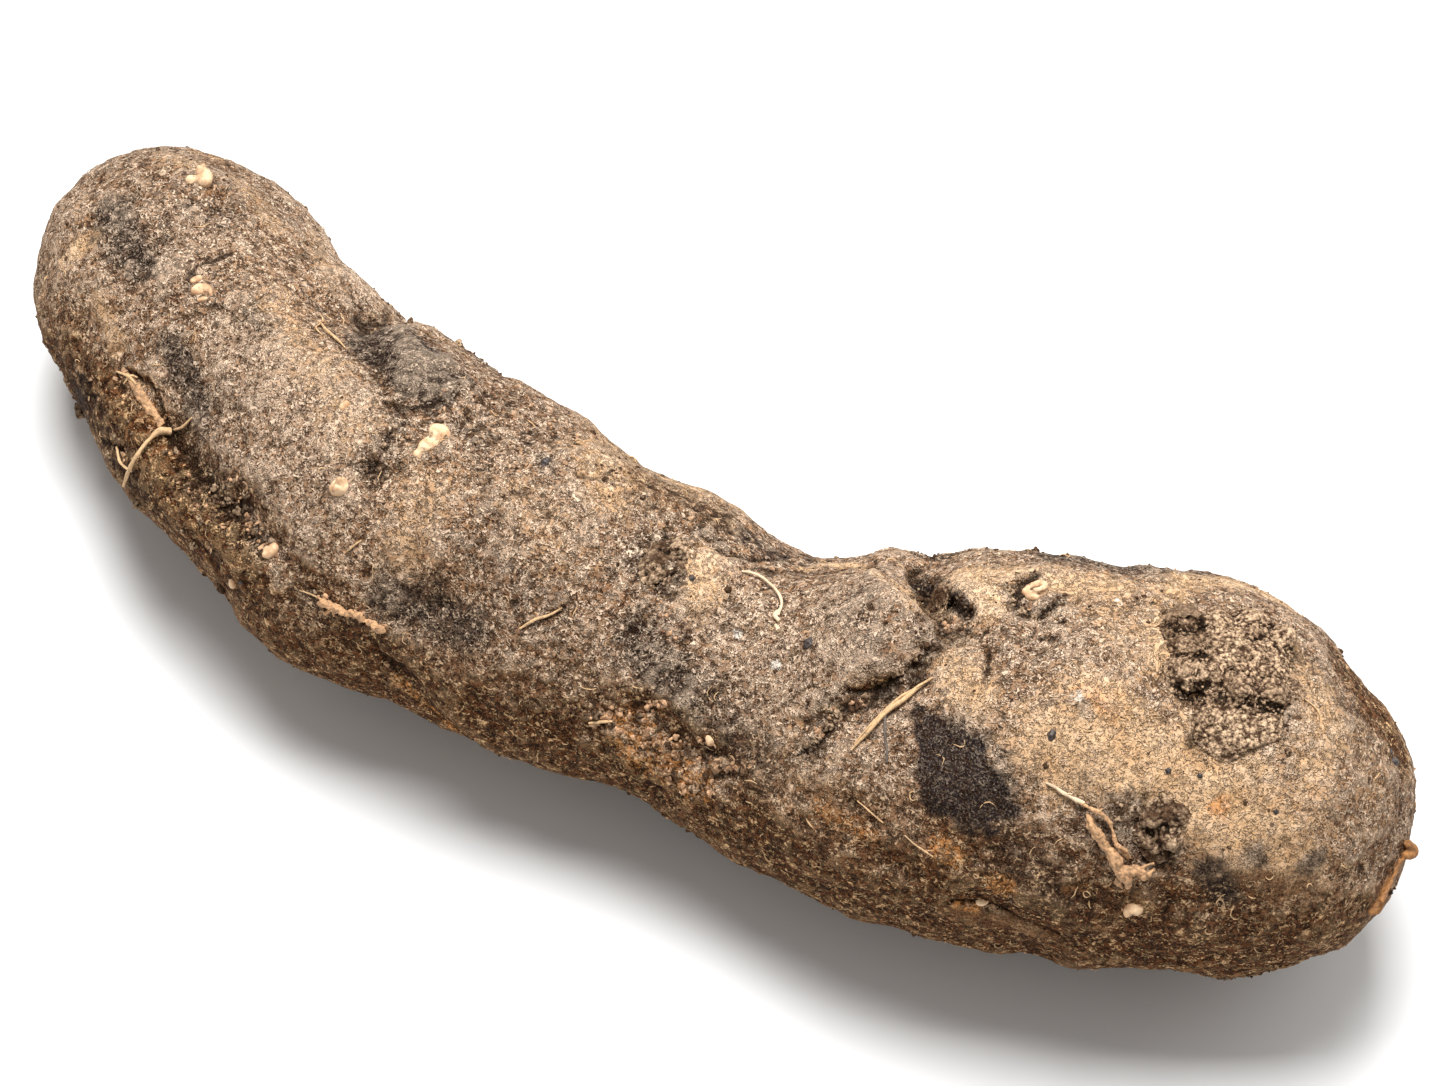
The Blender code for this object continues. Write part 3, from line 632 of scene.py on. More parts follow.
def skin_material():
    """Earthy skin: base colour, painted patches with painted shade on the lower sides, then flecks, pits, pin
    pricks, painted shade in the hollows and creases, and painted highlight on raised spots.
    """
    look = settings()
    made, g, shader, place = new_material("potato_skin")
    kit = groups()

    def ragged(name, scale, breakup, soft):
        return g.group(kit["ragged"], {"Vector": place, "Mask": g.attribute(name), "Scale": scale,
                                       "Breakup": breakup, "Soft": soft})["Mask"]

    def share(value, much):
        return g.math("MULTIPLY", value, much)

    def rest(value, much=1.0):
        return g.math("SUBTRACT", 1.0, share(value, much))

    ochre, pale = ragged("ochre", 420.0, 0.7, 0.5), ragged("pale", 500.0, 0.8, 0.5)
    dark, black = ragged("dark", 700.0, 1.2, 0.4), ragged("black", 520.0, 1.4, 0.38)
    rust, white = ragged("rust", 700.0, 0.8, 0.3), ragged("white", 1600.0, 1.2, 0.2)
    earth = ragged("soil", 800.0, 1.4, 0.25)
    hollow = g.attribute("hollow")
    crease = g.math("MULTIPLY", ragged("crease", 1100.0, 1.1, 0.45), 0.75)
    wander = share(g.math("SUBTRACT", g.noise(place, 70.0, 3.0, 0.5), 0.5), 0.6)
    # Painted shade: the lower sides and some patches are given the dark brown.
    shaded_brown = g.ease(g.math("ADD", g.attribute("shaded_brown"), wander), 0.0, 0.9)

    broad = g.noise(place, 70.0, 3.0, 0.55)
    middling = g.noise(g.moved(place, 0.1), 340.0, 4.0, 0.6)
    tone = g.math("ADD", share(broad, 0.65), share(middling, 0.35))
    colour = g.mix(g.ease(tone, 0.38, 0.62), look.brown[:], look.tan[:])
    dust = g.ease(g.noise(g.moved(place, 0.4), 110.0, 5.0, 0.6), 0.42, 0.66)
    colour = g.mix(share(dust, 0.3), colour, look.grey[:])
    colour = g.mix(share(pale, 0.6), colour, look.grey[:])
    colour = g.mix(share(ochre, 0.85), colour, look.ochre[:])
    warm = g.ease(g.noise(g.moved(place, 0.2), 260.0, 3.0, 0.6), 0.45, 0.62)
    colour = g.mix(share(g.math("MULTIPLY", ochre, warm), 0.4), colour, rgb(200, 148, 94))
    colour = g.mix(share(shaded_brown, 0.95), colour, look.shaded_brown[:])
    colour = g.mix(share(rust, 0.75), colour, look.rust[:])
    colour = g.mix(share(dark, 0.86), colour, look.shade[:])
    grit = g.group(kit["grit"], {"Vector": place, "Scale": 1.0})
    colour = g.mix(share(earth, 0.8), colour, g.mix(grit["Tone"], rgb(36, 25, 18), look.soil[:]))
    colour = g.mix(share(black, 0.95), colour, look.scurf[:])
    colour = g.mix(share(white, 0.85), colour, rgb(240, 228, 212))

    sparse = g.math("ADD", share(shaded_brown, 0.1), share(g.math("MAXIMUM", dark, black), 0.05))
    more_light = g.math("SUBTRACT", share(pale, 0.08), g.math("ADD", sparse, share(ochre, 0.03)))
    more_dark = g.math("SUBTRACT", share(g.math("MAXIMUM", dark, shaded_brown), 0.03),
                       share(g.math("ADD", ochre, pale), 0.05))
    flecks = g.group(kit["worms"], {"Vector": place, "Scale": 1.15, "More light": more_light,
                                    "More dark": more_dark})
    fewer = g.group(kit["worms"], {"Vector": g.moved(place, 0.9), "Scale": 0.7, "More dark": -0.03,
                                   "More light": g.math("SUBTRACT", -0.06, share(shaded_brown, 0.015))})
    quiet = g.math("MULTIPLY", rest(ochre, 0.68), rest(white))
    light = g.math("MAXIMUM", flecks["Light"], g.math("MULTIPLY", fewer["Light"], rest(black, 0.9)))
    over = g.math("MULTIPLY", share(light, 0.74), g.math("MULTIPLY", quiet, g.math(
        "MULTIPLY", rest(black, 0.72), rest(dark, 0.3))))
    # Light flecks and dark pits: partly the skin's own colour, partly painted highlight and shade of its fine
    # ridges.
    fleck_colour = g.mix(shaded_brown, rgb(240, 212, 184), rgb(244, 200, 148))
    colour = g.mix(over, colour, fleck_colour)
    pits = g.math("MAXIMUM", flecks["Dark"], share(fewer["Dark"], 0.9))
    pit_colour = g.mix(g.math("MAXIMUM", shaded_brown, dark), rgb(54, 32, 18), rgb(20, 10, 4))
    colour = g.mix(g.math("MULTIPLY", share(pits, 0.9), rest(ochre, 0.6)), colour, pit_colour)
    grain = g.math("SUBTRACT", flecks["Grain"], 0.5)
    grain_colour = g.mix(g.math("GREATER_THAN", grain, 0.0), rgb(40, 22, 12), fleck_colour)
    colour = g.mix(g.math("MULTIPLY", g.math("ABSOLUTE", grain), rest(shaded_brown, 0.45)), colour, grain_colour)
    pins = g.group(kit["pins"], {"Vector": place, "Scale": 480.0, "Share": 0.65})["Mask"]
    colour = g.mix(share(pins, 0.85), colour, rgb(44, 24, 12))
    # Painted shade: darker in the hollows of the skin and along its creases.
    deep = g.math("MAXIMUM", g.ease(hollow, 0.1, 0.9), crease, clamp=True)
    colour = g.mix(share(deep, 0.8), colour, rgb(30, 17, 9))
    # Painted highlight: raised spots of the skin are made lighter.
    raised = g.math("MULTIPLY", g.ease(hollow, -0.1, -0.8), g.math("SUBTRACT", 0.3, share(shaded_brown, 0.15)))
    colour = g.mix(g.math("MULTIPLY", raised, rest(black)), colour, fleck_colour)
    g.put(shader.inputs["Base Color"], colour)

    rough = g.math("ADD", 0.6, share(g.noise(place, 900.0, 3.0), 0.35))
    rough = g.math("SUBTRACT", rough, share(ochre, 0.1))
    g.put(shader.inputs["Roughness"], g.math("MAXIMUM", rough, share(earth, 0.95)))
    shader.inputs["Specular IOR Level"].default_value = 0.05
    height = g.math("SUBTRACT", flecks["Light"], flecks["Dark"])
    bump(g, shader, g.math("ADD", height, share(grain, 0.5)), 0.0004)
    return made


def soil_material(name, lightness, own_tone=False):
    """Crumbly dry soil: light grains with dark gaps between them, painted shade in its hollows and painted
    highlight on raised parts.
    """
    made, g, shader, place = new_material(name)
    grit = g.group(groups()["grit"], {"Vector": place, "Scale": 1.7})
    hollow = g.attribute("hollow")
    light = rgb(*(min(c * lightness, 255) for c in (240, 205, 168)))
    dull = rgb(*(c * lightness for c in (114, 88, 66)))
    patch = g.ease(g.noise(place, 300.0, 3.0), 0.4, 0.62)
    if own_tone:
        # The crust's lightness, which holds the painted shadows under its raised clods.
        own = g.math("MULTIPLY", g.attribute("lightness"), 0.85)
        patch = g.math("ADD", g.math("MULTIPLY", patch, 0.3), own)
    dark = rgb(72, 52, 38)
    colour = g.mix(grit["Tone"], dark, g.mix(patch, dull, light))
    # Painted shade in the hollows.
    colour = g.mix(g.math("MULTIPLY", g.ease(hollow, 0.1, 0.7), 0.92), colour, rgb(26, 18, 13))
    # Painted highlight on raised parts.
    raised = g.math("MULTIPLY", g.ease(hollow, -0.1, -0.9), g.math("MULTIPLY", patch, 0.4))
    colour = g.mix(raised, colour, light)
    g.put(shader.inputs["Base Color"], colour)
    shader.inputs["Roughness"].default_value = 0.95
    shader.inputs["Specular IOR Level"].default_value = 0.05
    bump(g, shader, grit["Height"], 0.0003)
    return made


def root_material(name, base, tip_dark):
    """Dry stringy bark: long streaks broken across, darker in spots."""
    made, g, shader, place = new_material(name)
    streaks = g.noise(place, 1500.0, 4.0, 0.7, 1.0)
    spots = g.noise(g.moved(place, 2.0), 500.0, 3.0, 0.6)
    colour = g.mix(g.ease(streaks, 0.35, 0.65), tuple(c * tip_dark for c in base), base)
    colour = g.mix(g.math("MULTIPLY", g.ease(spots, 0.55, 0.7), 0.35), colour, rgb(92, 66, 46))
    g.put(shader.inputs["Base Color"], colour)
    g.put(shader.inputs["Roughness"], g.ease(streaks, 0.2, 0.8, 0.6, 0.9))
    bump(g, shader, streaks, 0.00012)
    return made


def bud_material():
    """Pale bud with spots of dirt, and painted shade in its hollows."""
    look = settings()
    made, g, shader, place = new_material("pale_bud")
    soft = g.noise(place, 600.0, 3.0, 0.6)
    colour = g.mix(g.ease(soft, 0.36, 0.62), rgb(198, 154, 114), look.bud[:])
    dirt = g.ease(g.noise(g.moved(place, 3.0), 1100.0, 4.0, 0.7), 0.56, 0.68)
    colour = g.mix(g.math("MULTIPLY", dirt, 0.7), colour, rgb(84, 62, 46))
    # Painted shade in the hollows.
    hollow = g.attribute("hollow")
    colour = g.mix(g.math("MULTIPLY", g.ease(hollow, 0.0, 0.7), 0.85), colour, rgb(48, 34, 26))
    g.put(shader.inputs["Base Color"], colour)
    shader.inputs["Roughness"].default_value = 0.6
    bump(g, shader, g.noise(place, 1600.0, 3.0, 0.6), 0.0001)
    return made


# The pieces


# Made-up patches on the unseen side: kind, how many, smallest and largest size in metres.
HIDDEN_PATCHES = [
    ("ochre", 18, 0.003, 0.009), ("pale", 16, 0.003, 0.009), ("dark", 22, 0.002, 0.006),
    ("black", 4, 0.003, 0.006), ("rust", 10, 0.0012, 0.003), ("soil", 16, 0.0015, 0.005),
    ("crumb", 18, 0.003, 0.008),
]
# A patch fades in from its outer to its inner edge, as shares of its radius.
PATCH_FADE = (1.7, 0.3)
HIDDEN_CREASES, CREASE_STEP, CREASE_WIDTH, CREASE_DEPTH = 22, 1.8 * MM, 0.5 * MM, 0.35 * MM


def paint_seen_patches(points, surface, masks):
    """The photograph's patches, with uneven outlines."""
    uneven = 1 + 0.4 * rough_noise(points, 0.0035, 3, 8.0)
    for kind, one, two, radius, strength in PATCHES:
        ends = [surface.seen(*one)[0], surface.seen(*two)[0]]
        away = line_distance(points, [np.array(e) for e in ends], 0.03) * uneven / (radius * PIXEL)
        masks[kind] = np.maximum(masks[kind], strength * ease_in(away, *PATCH_FADE))


def paint_hidden_patches(points, hidden, rng, masks):
    """Patches of the same kinds on the side that the photograph doesn't show."""
    for kind, patches, small, large in HIDDEN_PATCHES:
        for i in rng.choice(hidden, patches):
            size = rng.uniform(small, large)
            end = points[i] + rng.normal(0, size, 3)
            away = segment_distance(points, points[i], end)
            level = rng.uniform(0.5, 1.0) * ease_in(away / size, *PATCH_FADE)
            masks[kind] = np.maximum(masks[kind], level)


def cut_seen_creases(points, surface, masks):
    """How deep the photograph's fine creases cut at each point."""
    drop = np.zeros(len(points))
    for line, half_width, depth, darkness in CREASES:
        path = [np.array(surface.seen(*spot)[0]) for spot in line]
        away = line_distance(points, path, 0.02)
        away = away * (1 + 0.35 * rough_noise(points, 0.002, 2, 5.0))
        cut = np.exp(-((away / (half_width * PIXEL)) ** 2))
        drop += depth * MM * cut
        # The crease's darkness is painted shade along it.
        masks["crease"] = np.maximum(masks["crease"], cut * darkness)
    return drop


def cut_hidden_creases(points, out, hidden, surface, rng, masks):
    """How deep the made-up creases of the unseen side cut at each point."""
    drop = np.zeros(len(points))
    for _ in range(HIDDEN_CREASES):
        i = rng.choice(hidden)
        path = [points[i]]
        way = np.cross(out[i], rng.normal(size=3))
        for _ in range(4):
            way = way / np.linalg.norm(way) + rng.normal(0, 0.35, 3)
            path.append(np.array(surface.near(Vector(path[-1] + way * CREASE_STEP))[0]))
        cut = np.exp(-((line_distance(points, path, 0.02) / CREASE_WIDTH) ** 2))
        drop += CREASE_DEPTH * cut
        # Painted shade along the made-up crease.
        masks["crease"] = np.maximum(masks["crease"], cut * 0.5)
    return drop


def skin_relief(points, masks):
    """How far the low swells, warts, winding ridges and crumbs stand out at each point."""
    look = settings()
    swell = rough_noise(points, 0.0052, 3, 1.0)
    warts = rough_noise(points, 0.0021, 2, 2.0)
    winding = worms(points, 0.0017, 0.22, 4.0)
    dirty = ease_in(rough_noise(points, 0.011, 3, 7.0), -0.05, 0.35)
    clean = 1 - 0.75 * np.clip(masks["ochre"], 0, 1)
    crumbly = np.clip(np.maximum(masks["crumb"], masks["soil"]) * 1.2, 0, 1)
    crumbs = pebbles(points, 0.0014, 3.0) * np.maximum(dirty * 0.6, crumbly) * clean
    rise = swell * 0.00028 + warts * look.wart_height * clean + winding * look.wart_height * 0.9 * clean
    rise += crumbs * look.crumb_height * ease_in(rough_noise(points, 0.0026, 2, 9.0), -0.15, 0.25)
    rise += crumbly * rough_noise(points, 0.0016, 3, 12.0) * look.crumb_height * 0.9
    return rise


def fine_skin():
    """The tuber's skin, with its patches, creases and relief."""
    made = fine_copy("tuber", "skin", settings().skin_voxel)
    mesh = made.data
    edges = edges_of(mesh)
    points = eased(points_of(mesh), edges, 10)
    set_points(mesh, points)
    surface = Surface(made)
    out = outward_of(mesh)
    rng = np.random.default_rng(11)
    masks = {kind: np.zeros(len(points)) for kind in PATCH_KINDS}
    hidden = np.where(out @ np.array(BACK) < 0.05)[0]
    paint_seen_patches(points, surface, masks)
    paint_hidden_patches(points, hidden, rng, masks)
    drop = cut_seen_creases(points, surface, masks)
    drop += cut_hidden_creases(points, out, hidden, surface, rng, masks)
    points = points + out * (skin_relief(points, masks) - drop)[:, None]
    points[:, 2] = np.maximum(points[:, 2], 0.0)
    set_points(mesh, points)
    out = outward_of(mesh)
    # How hollow the skin is, fine and wide; the skin material paints shade into the hollows and highlight
    # onto raised spots from it.
    fine = ((eased(points, edges, 6) - points) * out).sum(axis=1) / 0.00012
    wide = ((eased(points, edges, 60) - points) * out).sum(axis=1) / 0.0005
    # Painted shade: the side that faces down and away from the key lamp gets the dark brown.
    away_from_light = out @ np.array((0.16, -0.62, -0.77))
    masks["shaded_brown"] = np.maximum(masks["shaded_brown"], ease_in(away_from_light, -0.45, 0.7))
    for kind in PATCH_KINDS:
        store(mesh, kind, masks[kind])
    store(mesh, "hollow", np.clip(0.6 * fine + 0.3 * wide, -1, 1))
    finish_piece(made, skin_material(), ["tuber"])
    return made


# The crust's clods: pixel, radius in pixels, lightness from 0 to 1, how far each stands up in millimetres.
# The darkest, sunk clods are painted shadows under the raised ones.
CRUST_CLODS = [
    ((1181, 620), 17, 0.15, 0.9), ((1191, 592), 15, 0.8, 0.0), ((1228, 640), 17, 0.9, 0.2),
    ((1255, 620), 16, 0.85, 0.6), ((1254, 640), 6, 0.05, -0.4), ((1282, 641), 12, 0.65, 0.9),
    ((1191, 650), 12, 0.1, 0.5), ((1216, 664), 14, 0.9, 0.2), ((1264, 663), 16, 0.95, 0.1),
    ((1192, 678), 17, 0.6, 1.0), ((1198, 697), 7, 0.0, -0.4), ((1228, 677), 8, 0.05, -0.5),
    ((1241, 694), 13, 0.4, 1.1), ((1241, 711), 6, 0.0, -0.4), ((1272, 697), 15, 0.2, 0.7),
    ((1225, 730), 20, 0.8, 0.2), ((1262, 738), 22, 0.9, 0.2), ((1210, 718), 9, 0.15, 0.3),
    ((1212, 612), 9, 0.35, 0.3), ((1168, 628), 9, 0.1, 0.3),
]


def crust_lightness(surface, points):
    """How light the crust is at each point, drawn from the clods round it, the painted shadows under the
    raised clods included.
    """
    level, weight = np.full(len(points), 0.3), np.full(len(points), 0.5)
    for spot, radius, tone, _ in CRUST_CLODS:
        away = np.linalg.norm(points - np.array(surface.seen(*spot)[0]), axis=1) / (radius * PIXEL)
        part = np.exp(-away ** 2) * 4
        level += part * tone
        weight += part
    return level / weight


def cake(surface, node, name, coat, voxel, lump_spacing, lump_height, sink):
    """A cake of soil: the CAD's cake, broken into lumps and grains, pressed onto the skin."""
    made = fine_copy(node, name, voxel)
    mesh = made.data
    edges = edges_of(mesh)
    points = eased(points_of(mesh), edges, 2)
    out = surface.near(Vector(points.mean(axis=0)))[1]
    points = points - np.array(out) * sink
    set_points(mesh, points)
    ways = outward_of(mesh)
    lumps = pebbles(points, lump_spacing, 1.3) - 0.4
    grains = pebbles(points, lump_spacing * 0.5, 4.1) - 0.4
    rough = rough_noise(points, lump_spacing * 1.5, 3, 2.0)
    rise = lumps * lump_height + grains * lump_height * 0.5 + rough * lump_height * 0.6
    upper = ease_in(ways @ np.array(out), 0.0, 0.6)
    gap = np.zeros(len(points))
    if node == "soil_crust":
        rise *= 1.25 - 0.7 * crust_lightness(surface, points)
        for spot, radius, _, height in CRUST_CLODS:
            offset = (points - np.array(surface.seen(*spot)[0])) / (radius * PIXEL)
            away = np.linalg.norm(offset, axis=1) * (1 + 0.3 * rough)
            rise += 1.3 * height * MM * np.exp(-away ** 4) * upper
            # Painted shadow: a groove round the side of each raised clod that lies lower in the view,
            # darkened through the hollows.
            if height >= 0.5:
                under = ease_in(-(offset @ np.array(UP)), -0.3, 0.7)
                gap = np.maximum(gap, np.exp(-((away - 1.15) / 0.22) ** 2) * under)
        rise -= 0.5 * MM * gap * upper
    points = points + ways * rise[:, None]
    set_points(mesh, points)
    ways = outward_of(mesh)
    # How hollow the cake is; the soil material paints shade into it, the painted shadows under the clods
    # included.
    fine = ((eased(points, edges, 5) - points) * ways).sum(axis=1) / 0.00008
    wide = ((eased(points, edges, 50) - points) * ways).sum(axis=1) / 0.00035
    store(mesh, "hollow", np.clip(0.5 * fine + 0.8 * wide + 1.1 * gap, -1, 1))
    store(mesh, "lightness", crust_lightness(surface, points))
    return finish_piece(made, coat, [node])


def smooth_line(stations, count):
    """Points on a smooth curve through the stations."""
    rows = np.array(stations, float)
    steps = np.linalg.norm(np.diff(rows[:, :3], axis=0), axis=1)
    stops = np.concatenate([[0], np.cumsum(steps)])
    slopes = np.gradient(rows, stops, axis=0)
    at = np.linspace(0, stops[-1], count)
    i = np.clip(np.searchsorted(stops, at) - 1, 0, len(stops) - 2)
    gap = (stops[i + 1] - stops[i])[:, None]
    t = ((at - stops[i]) / gap[:, 0])[:, None]
    return ((1 + 2 * t) * (1 - t) ** 2 * rows[i] + t * t * (3 - 2 * t) * rows[i + 1]
            + t * (1 - t) ** 2 * gap * slopes[i] - t * t * (1 - t) * gap * slopes[i + 1])


def strands(name, lines, sides=2):
    """Tapering strands as one mesh: each line is points with their radius."""
    curve = bpy.data.curves.new(name, "CURVE")
    curve.dimensions = "3D"
    curve.bevel_depth = 1.0
    curve.bevel_resolution = sides
    curve.use_fill_caps = True
    for line in lines:
        spline = curve.splines.new("POLY")
        spline.points.add(len(line) - 1)
        for point, row in zip(spline.points, line):
            point.co = (*row[:3], 1.0)
            point.radius = row[3]
    return applied(object_from(name, curve))


# Blender draws the offsets of noise_vector from the clock unless it is given a seed.
NOISE_SEED = 1795780806


def root_line(surface, stations, wobble=0.0, seed=0):
    """A strand's points from pixels of the photograph: x, y, radius and lift in millimetres."""
    noise.seed_set(NOISE_SEED)
    rows = []
    for x, y, radius, lift in stations:
        point, out = surface.seen(x, y)
        rows.append((*(point + out * (radius + lift) * MM), radius * MM))
    length = sum(math.dist(a[:3], b[:3]) for a, b in zip(rows, rows[1:]))
    line = smooth_line(rows, max(8, int(length / 0.00028)))
    for row in line:
        shake = noise.noise_vector(Vector(row[:3]) / 0.0016 + Vector((seed, 0, 0)))
        row[:3] += np.array(shake) * wobble * MM
        row[3] *= 1 + 0.28 * noise.noise(Vector(row[:3]) / 0.0007)
    return line


def roots(surface):
    """The stolon, the dry roots, the bark strand and the peeled bark."""
    look = settings()
    dry = root_material("dry_root", look.straw[:], 0.66)
    pale = root_material("pale_root", rgb(240, 212, 176), 0.72)
    bark = root_material("stolon_bark", rgb(216, 168, 122), 0.45)
    orange = root_material("stem_end_bark", rgb(172, 118, 66), 0.45)
    grey = root_material("grey_root", rgb(120, 108, 98), 0.4)

    straw = strands("dry_forked_straw", [
        root_line(surface, [(852, 750, 0.12, 0.1), (871, 731, 0.24, 0.3), (888, 717, 0.28, 0.45),
                            (907, 702, 0.28, 0.35), (922, 689, 0.24, 0.25), (934, 678, 0.08, 0.1)], 0.05),
        root_line(surface, [(856, 744, 0.08, 0.3), (880, 720, 0.13, 0.65), (905, 700, 0.13, 0.65),
                            (930, 684, 0.06, 0.4)], 0.05, 3),
    ], 3)
    finish_piece(straw, dry, ["dry_forked_root"])
    branch = strands("straw_branch", [
        root_line(surface, [(888, 717, 0.13, 0.45), (886, 735, 0.15, 0.4), (887, 750, 0.14, 0.3),
                            (887, 762, 0.12, 0.1)], 0.05, 5),
    ], 3)
    finish_piece(branch, grey)

    head = strands("thin_end_rootlet", [
        root_line(surface, [(126, 485, 0.16, 0.2), (131, 476, 0.22, 0.6), (141, 462, 0.25, 1.0),
                            (153, 443, 0.28, 0.8), (163, 435, 0.44, 0.4), (172, 434, 0.44, 0.1)], 0.04),
        root_line(surface, [(176, 430, 0.16, 0.1), (185, 426, 0.2, 0.3), (193, 418, 0.1, 0.1)], 0.04, 2),
        root_line(surface, [(118, 448, 0.14, 0.1), (124, 462, 0.16, 0.3), (133, 470, 0.12, 0.2)], 0.04, 4),
    ], 3)
    finish_piece(head, dry, ["thin_end_root"])

    thread = strands("pale_thread", [
        root_line(surface, [(741, 572, 0.14, 0.0), (753, 577, 0.16, 0.4), (770, 588, 0.17, 0.5),
                            (780, 598, 0.17, 0.4), (783, 608, 0.16, 0.3), (779, 617, 0.16, 0.2)], 0.05),
        root_line(surface, [(781, 611, 0.2, 0.1), (776, 617, 0.3, 0.1), (780, 622, 0.2, 0.0)], 0.03, 1),
        root_line(surface, [(776, 626, 0.2, 0.0), (780, 631, 0.26, 0.0)], 0.03, 2),
    ], 3)
    finish_piece(thread, pale, ["thread_root"])

    stump = strands("stolon_stump", [
        root_line(surface, [(1086, 812, 0.16, 0.1), (1092, 822, 0.42, 0.2), (1098, 830, 0.6, 0.3),
                            (1105, 840, 0.52, 0.4), (1113, 852, 0.62, 0.5), (1120, 865, 0.74, 0.6),
                            (1126, 875, 0.62, 0.6), (1129, 886, 0.24, 0.4)], 0.22),
        root_line(surface, [(1118, 862, 0.5, 0.6), (1128, 864, 0.58, 0.8), (1137, 867, 0.52, 0.7),
                            (1145, 872, 0.5, 0.6), (1152, 867, 0.2, 0.5)], 0.22, 2),
        root_line(surface, [(1122, 873, 0.4, 0.5), (1118, 880, 0.36, 0.4), (1122, 885, 0.2, 0.2)], 0.2, 3),
        root_line(surface, [(1096, 832, 0.3, 0.3), (1089, 826, 0.24, 0.3), (1085, 819, 0.12, 0.1)], 0.2, 4),
        root_line(surface, [(1138, 868, 0.26, 1.0), (1146, 865, 0.24, 1.1), (1152, 862, 0.1, 0.9)], 0.2, 6),
    ], 3)
    stump = remeshed(stump, 0.00012)
    roughen(stump, 0.0006, 0.0002)
    finish_piece(stump, bark, ["stolon"])
    tip = strands("stolon_rootlet", [
        root_line(surface, [(1047, 783, 0.12, 0.1), (1051, 785, 0.2, 0.1), (1057, 788, 0.16, 0.3),
                            (1064, 793, 0.24, 0.3), (1070, 797, 0.18, 0.4), (1076, 799, 0.26, 0.4),
                            (1084, 803, 0.2, 0.5)], 0.12),
        root_line(surface, [(1066, 793, 0.08, 0.6), (1072, 793, 0.1, 0.7)], 0.08, 2),
    ], 3)
    finish_piece(tip, pale)
    thin = strands("stolon_side_root", [
        root_line(surface, [(1080, 801, 0.18, 0.5), (1090, 806, 0.24, 0.6), (1099, 811, 0.3, 0.7),
                            (1106, 818, 0.26, 0.8), (1113, 827, 0.22, 0.9), (1120, 840, 0.26, 0.9),
                            (1124, 848, 0.22, 0.8), (1129, 855, 0.12, 0.6)], 0.16, 1),
        root_line(surface, [(1099, 811, 0.14, 0.9), (1101, 806, 0.1, 1.1)], 0.08, 2),
        root_line(surface, [(1120, 842, 0.16, 0.7), (1124, 852, 0.18, 0.5), (1128, 858, 0.12, 0.3)], 0.16, 3),
    ], 3)
    thin = remeshed(thin, 0.0001)
    roughen(thin, 0.0006, 0.00012)
    finish_piece(thin, bark)

    strand = strands("stem_end_bark_strand", [
        root_line(surface, [(1404, 842, 0.45, 0.0), (1406, 850, 0.7, 0.1), (1400, 856, 0.4, 0.1)], 0.15),
        root_line(surface, [(1399, 858, 0.28, 0.1), (1389, 874, 0.3, 0.3), (1380, 890, 0.36, 0.2),
                            (1370, 906, 0.6, 0.2), (1366, 911, 0.3, 0.1)], 0.12, 2),
        root_line(surface, [(1396, 862, 0.18, 0.1), (1384, 880, 0.24, 0.6), (1374, 898, 0.4, 0.5)], 0.12, 3),
    ], 3)
    strand = remeshed(strand, 0.00014)
    roughen(strand, 0.0007, 0.0001)
    finish_piece(strand, orange, ["stem_end_strand"])

    peeled = strands("peeled_bark", [
        root_line(surface, [(127, 374, 0.3, -0.3), (136, 388, 0.6, -0.75), (150, 408, 0.65, -0.8),
                            (162, 426, 0.5, -0.5)], 0.12),
        root_line(surface, [(320, 603, 0.3, 0.0), (327, 601, 0.55, 0.1), (334, 606, 0.5, 0.1),
                            (341, 611, 0.3, 0.1)],
                  0.4, 1),
        root_line(surface, [(326, 612, 0.2, 0.0), (336, 609, 0.4, 0.1), (348, 612, 0.45, 0.1),
                            (356, 609, 0.3, 0.3)],
                  0.4, 2),
        root_line(surface, [(352, 612, 0.3, 0.1), (362, 613, 0.42, 0.1), (367, 620, 0.26, 0.2)], 0.4, 5),
        root_line(surface, [(368, 620, 0.3, 0.1), (377, 624, 0.5, 0.1), (386, 629, 0.34, 0.0)], 0.4, 3),
        root_line(surface, [(322, 595, 0.2, 0.4), (331, 603, 0.2, 0.6), (336, 616, 0.16, 0.2)], 0.3, 4),
    ], 3)
    peeled = remeshed(peeled, 0.00012)
    roughen(peeled, 0.0006, 0.0002)
    finish_piece(peeled, bark)


def roughen(made, spacing, height):
    """Roughens a piece's surface and notes its hollows."""
    mesh = made.data
    edges = edges_of(mesh)
    points = eased(points_of(mesh), edges, 2)
    set_points(mesh, points)
    points = points + outward_of(mesh) * (rough_noise(points, spacing, 3, 6.0) * height)[:, None]
    set_points(mesh, points)
    fine = ((eased(points, edges, 8) - points) * outward_of(mesh)).sum(axis=1) / (height * 0.8)
    store(mesh, "hollow", np.clip(fine, -1, 1))


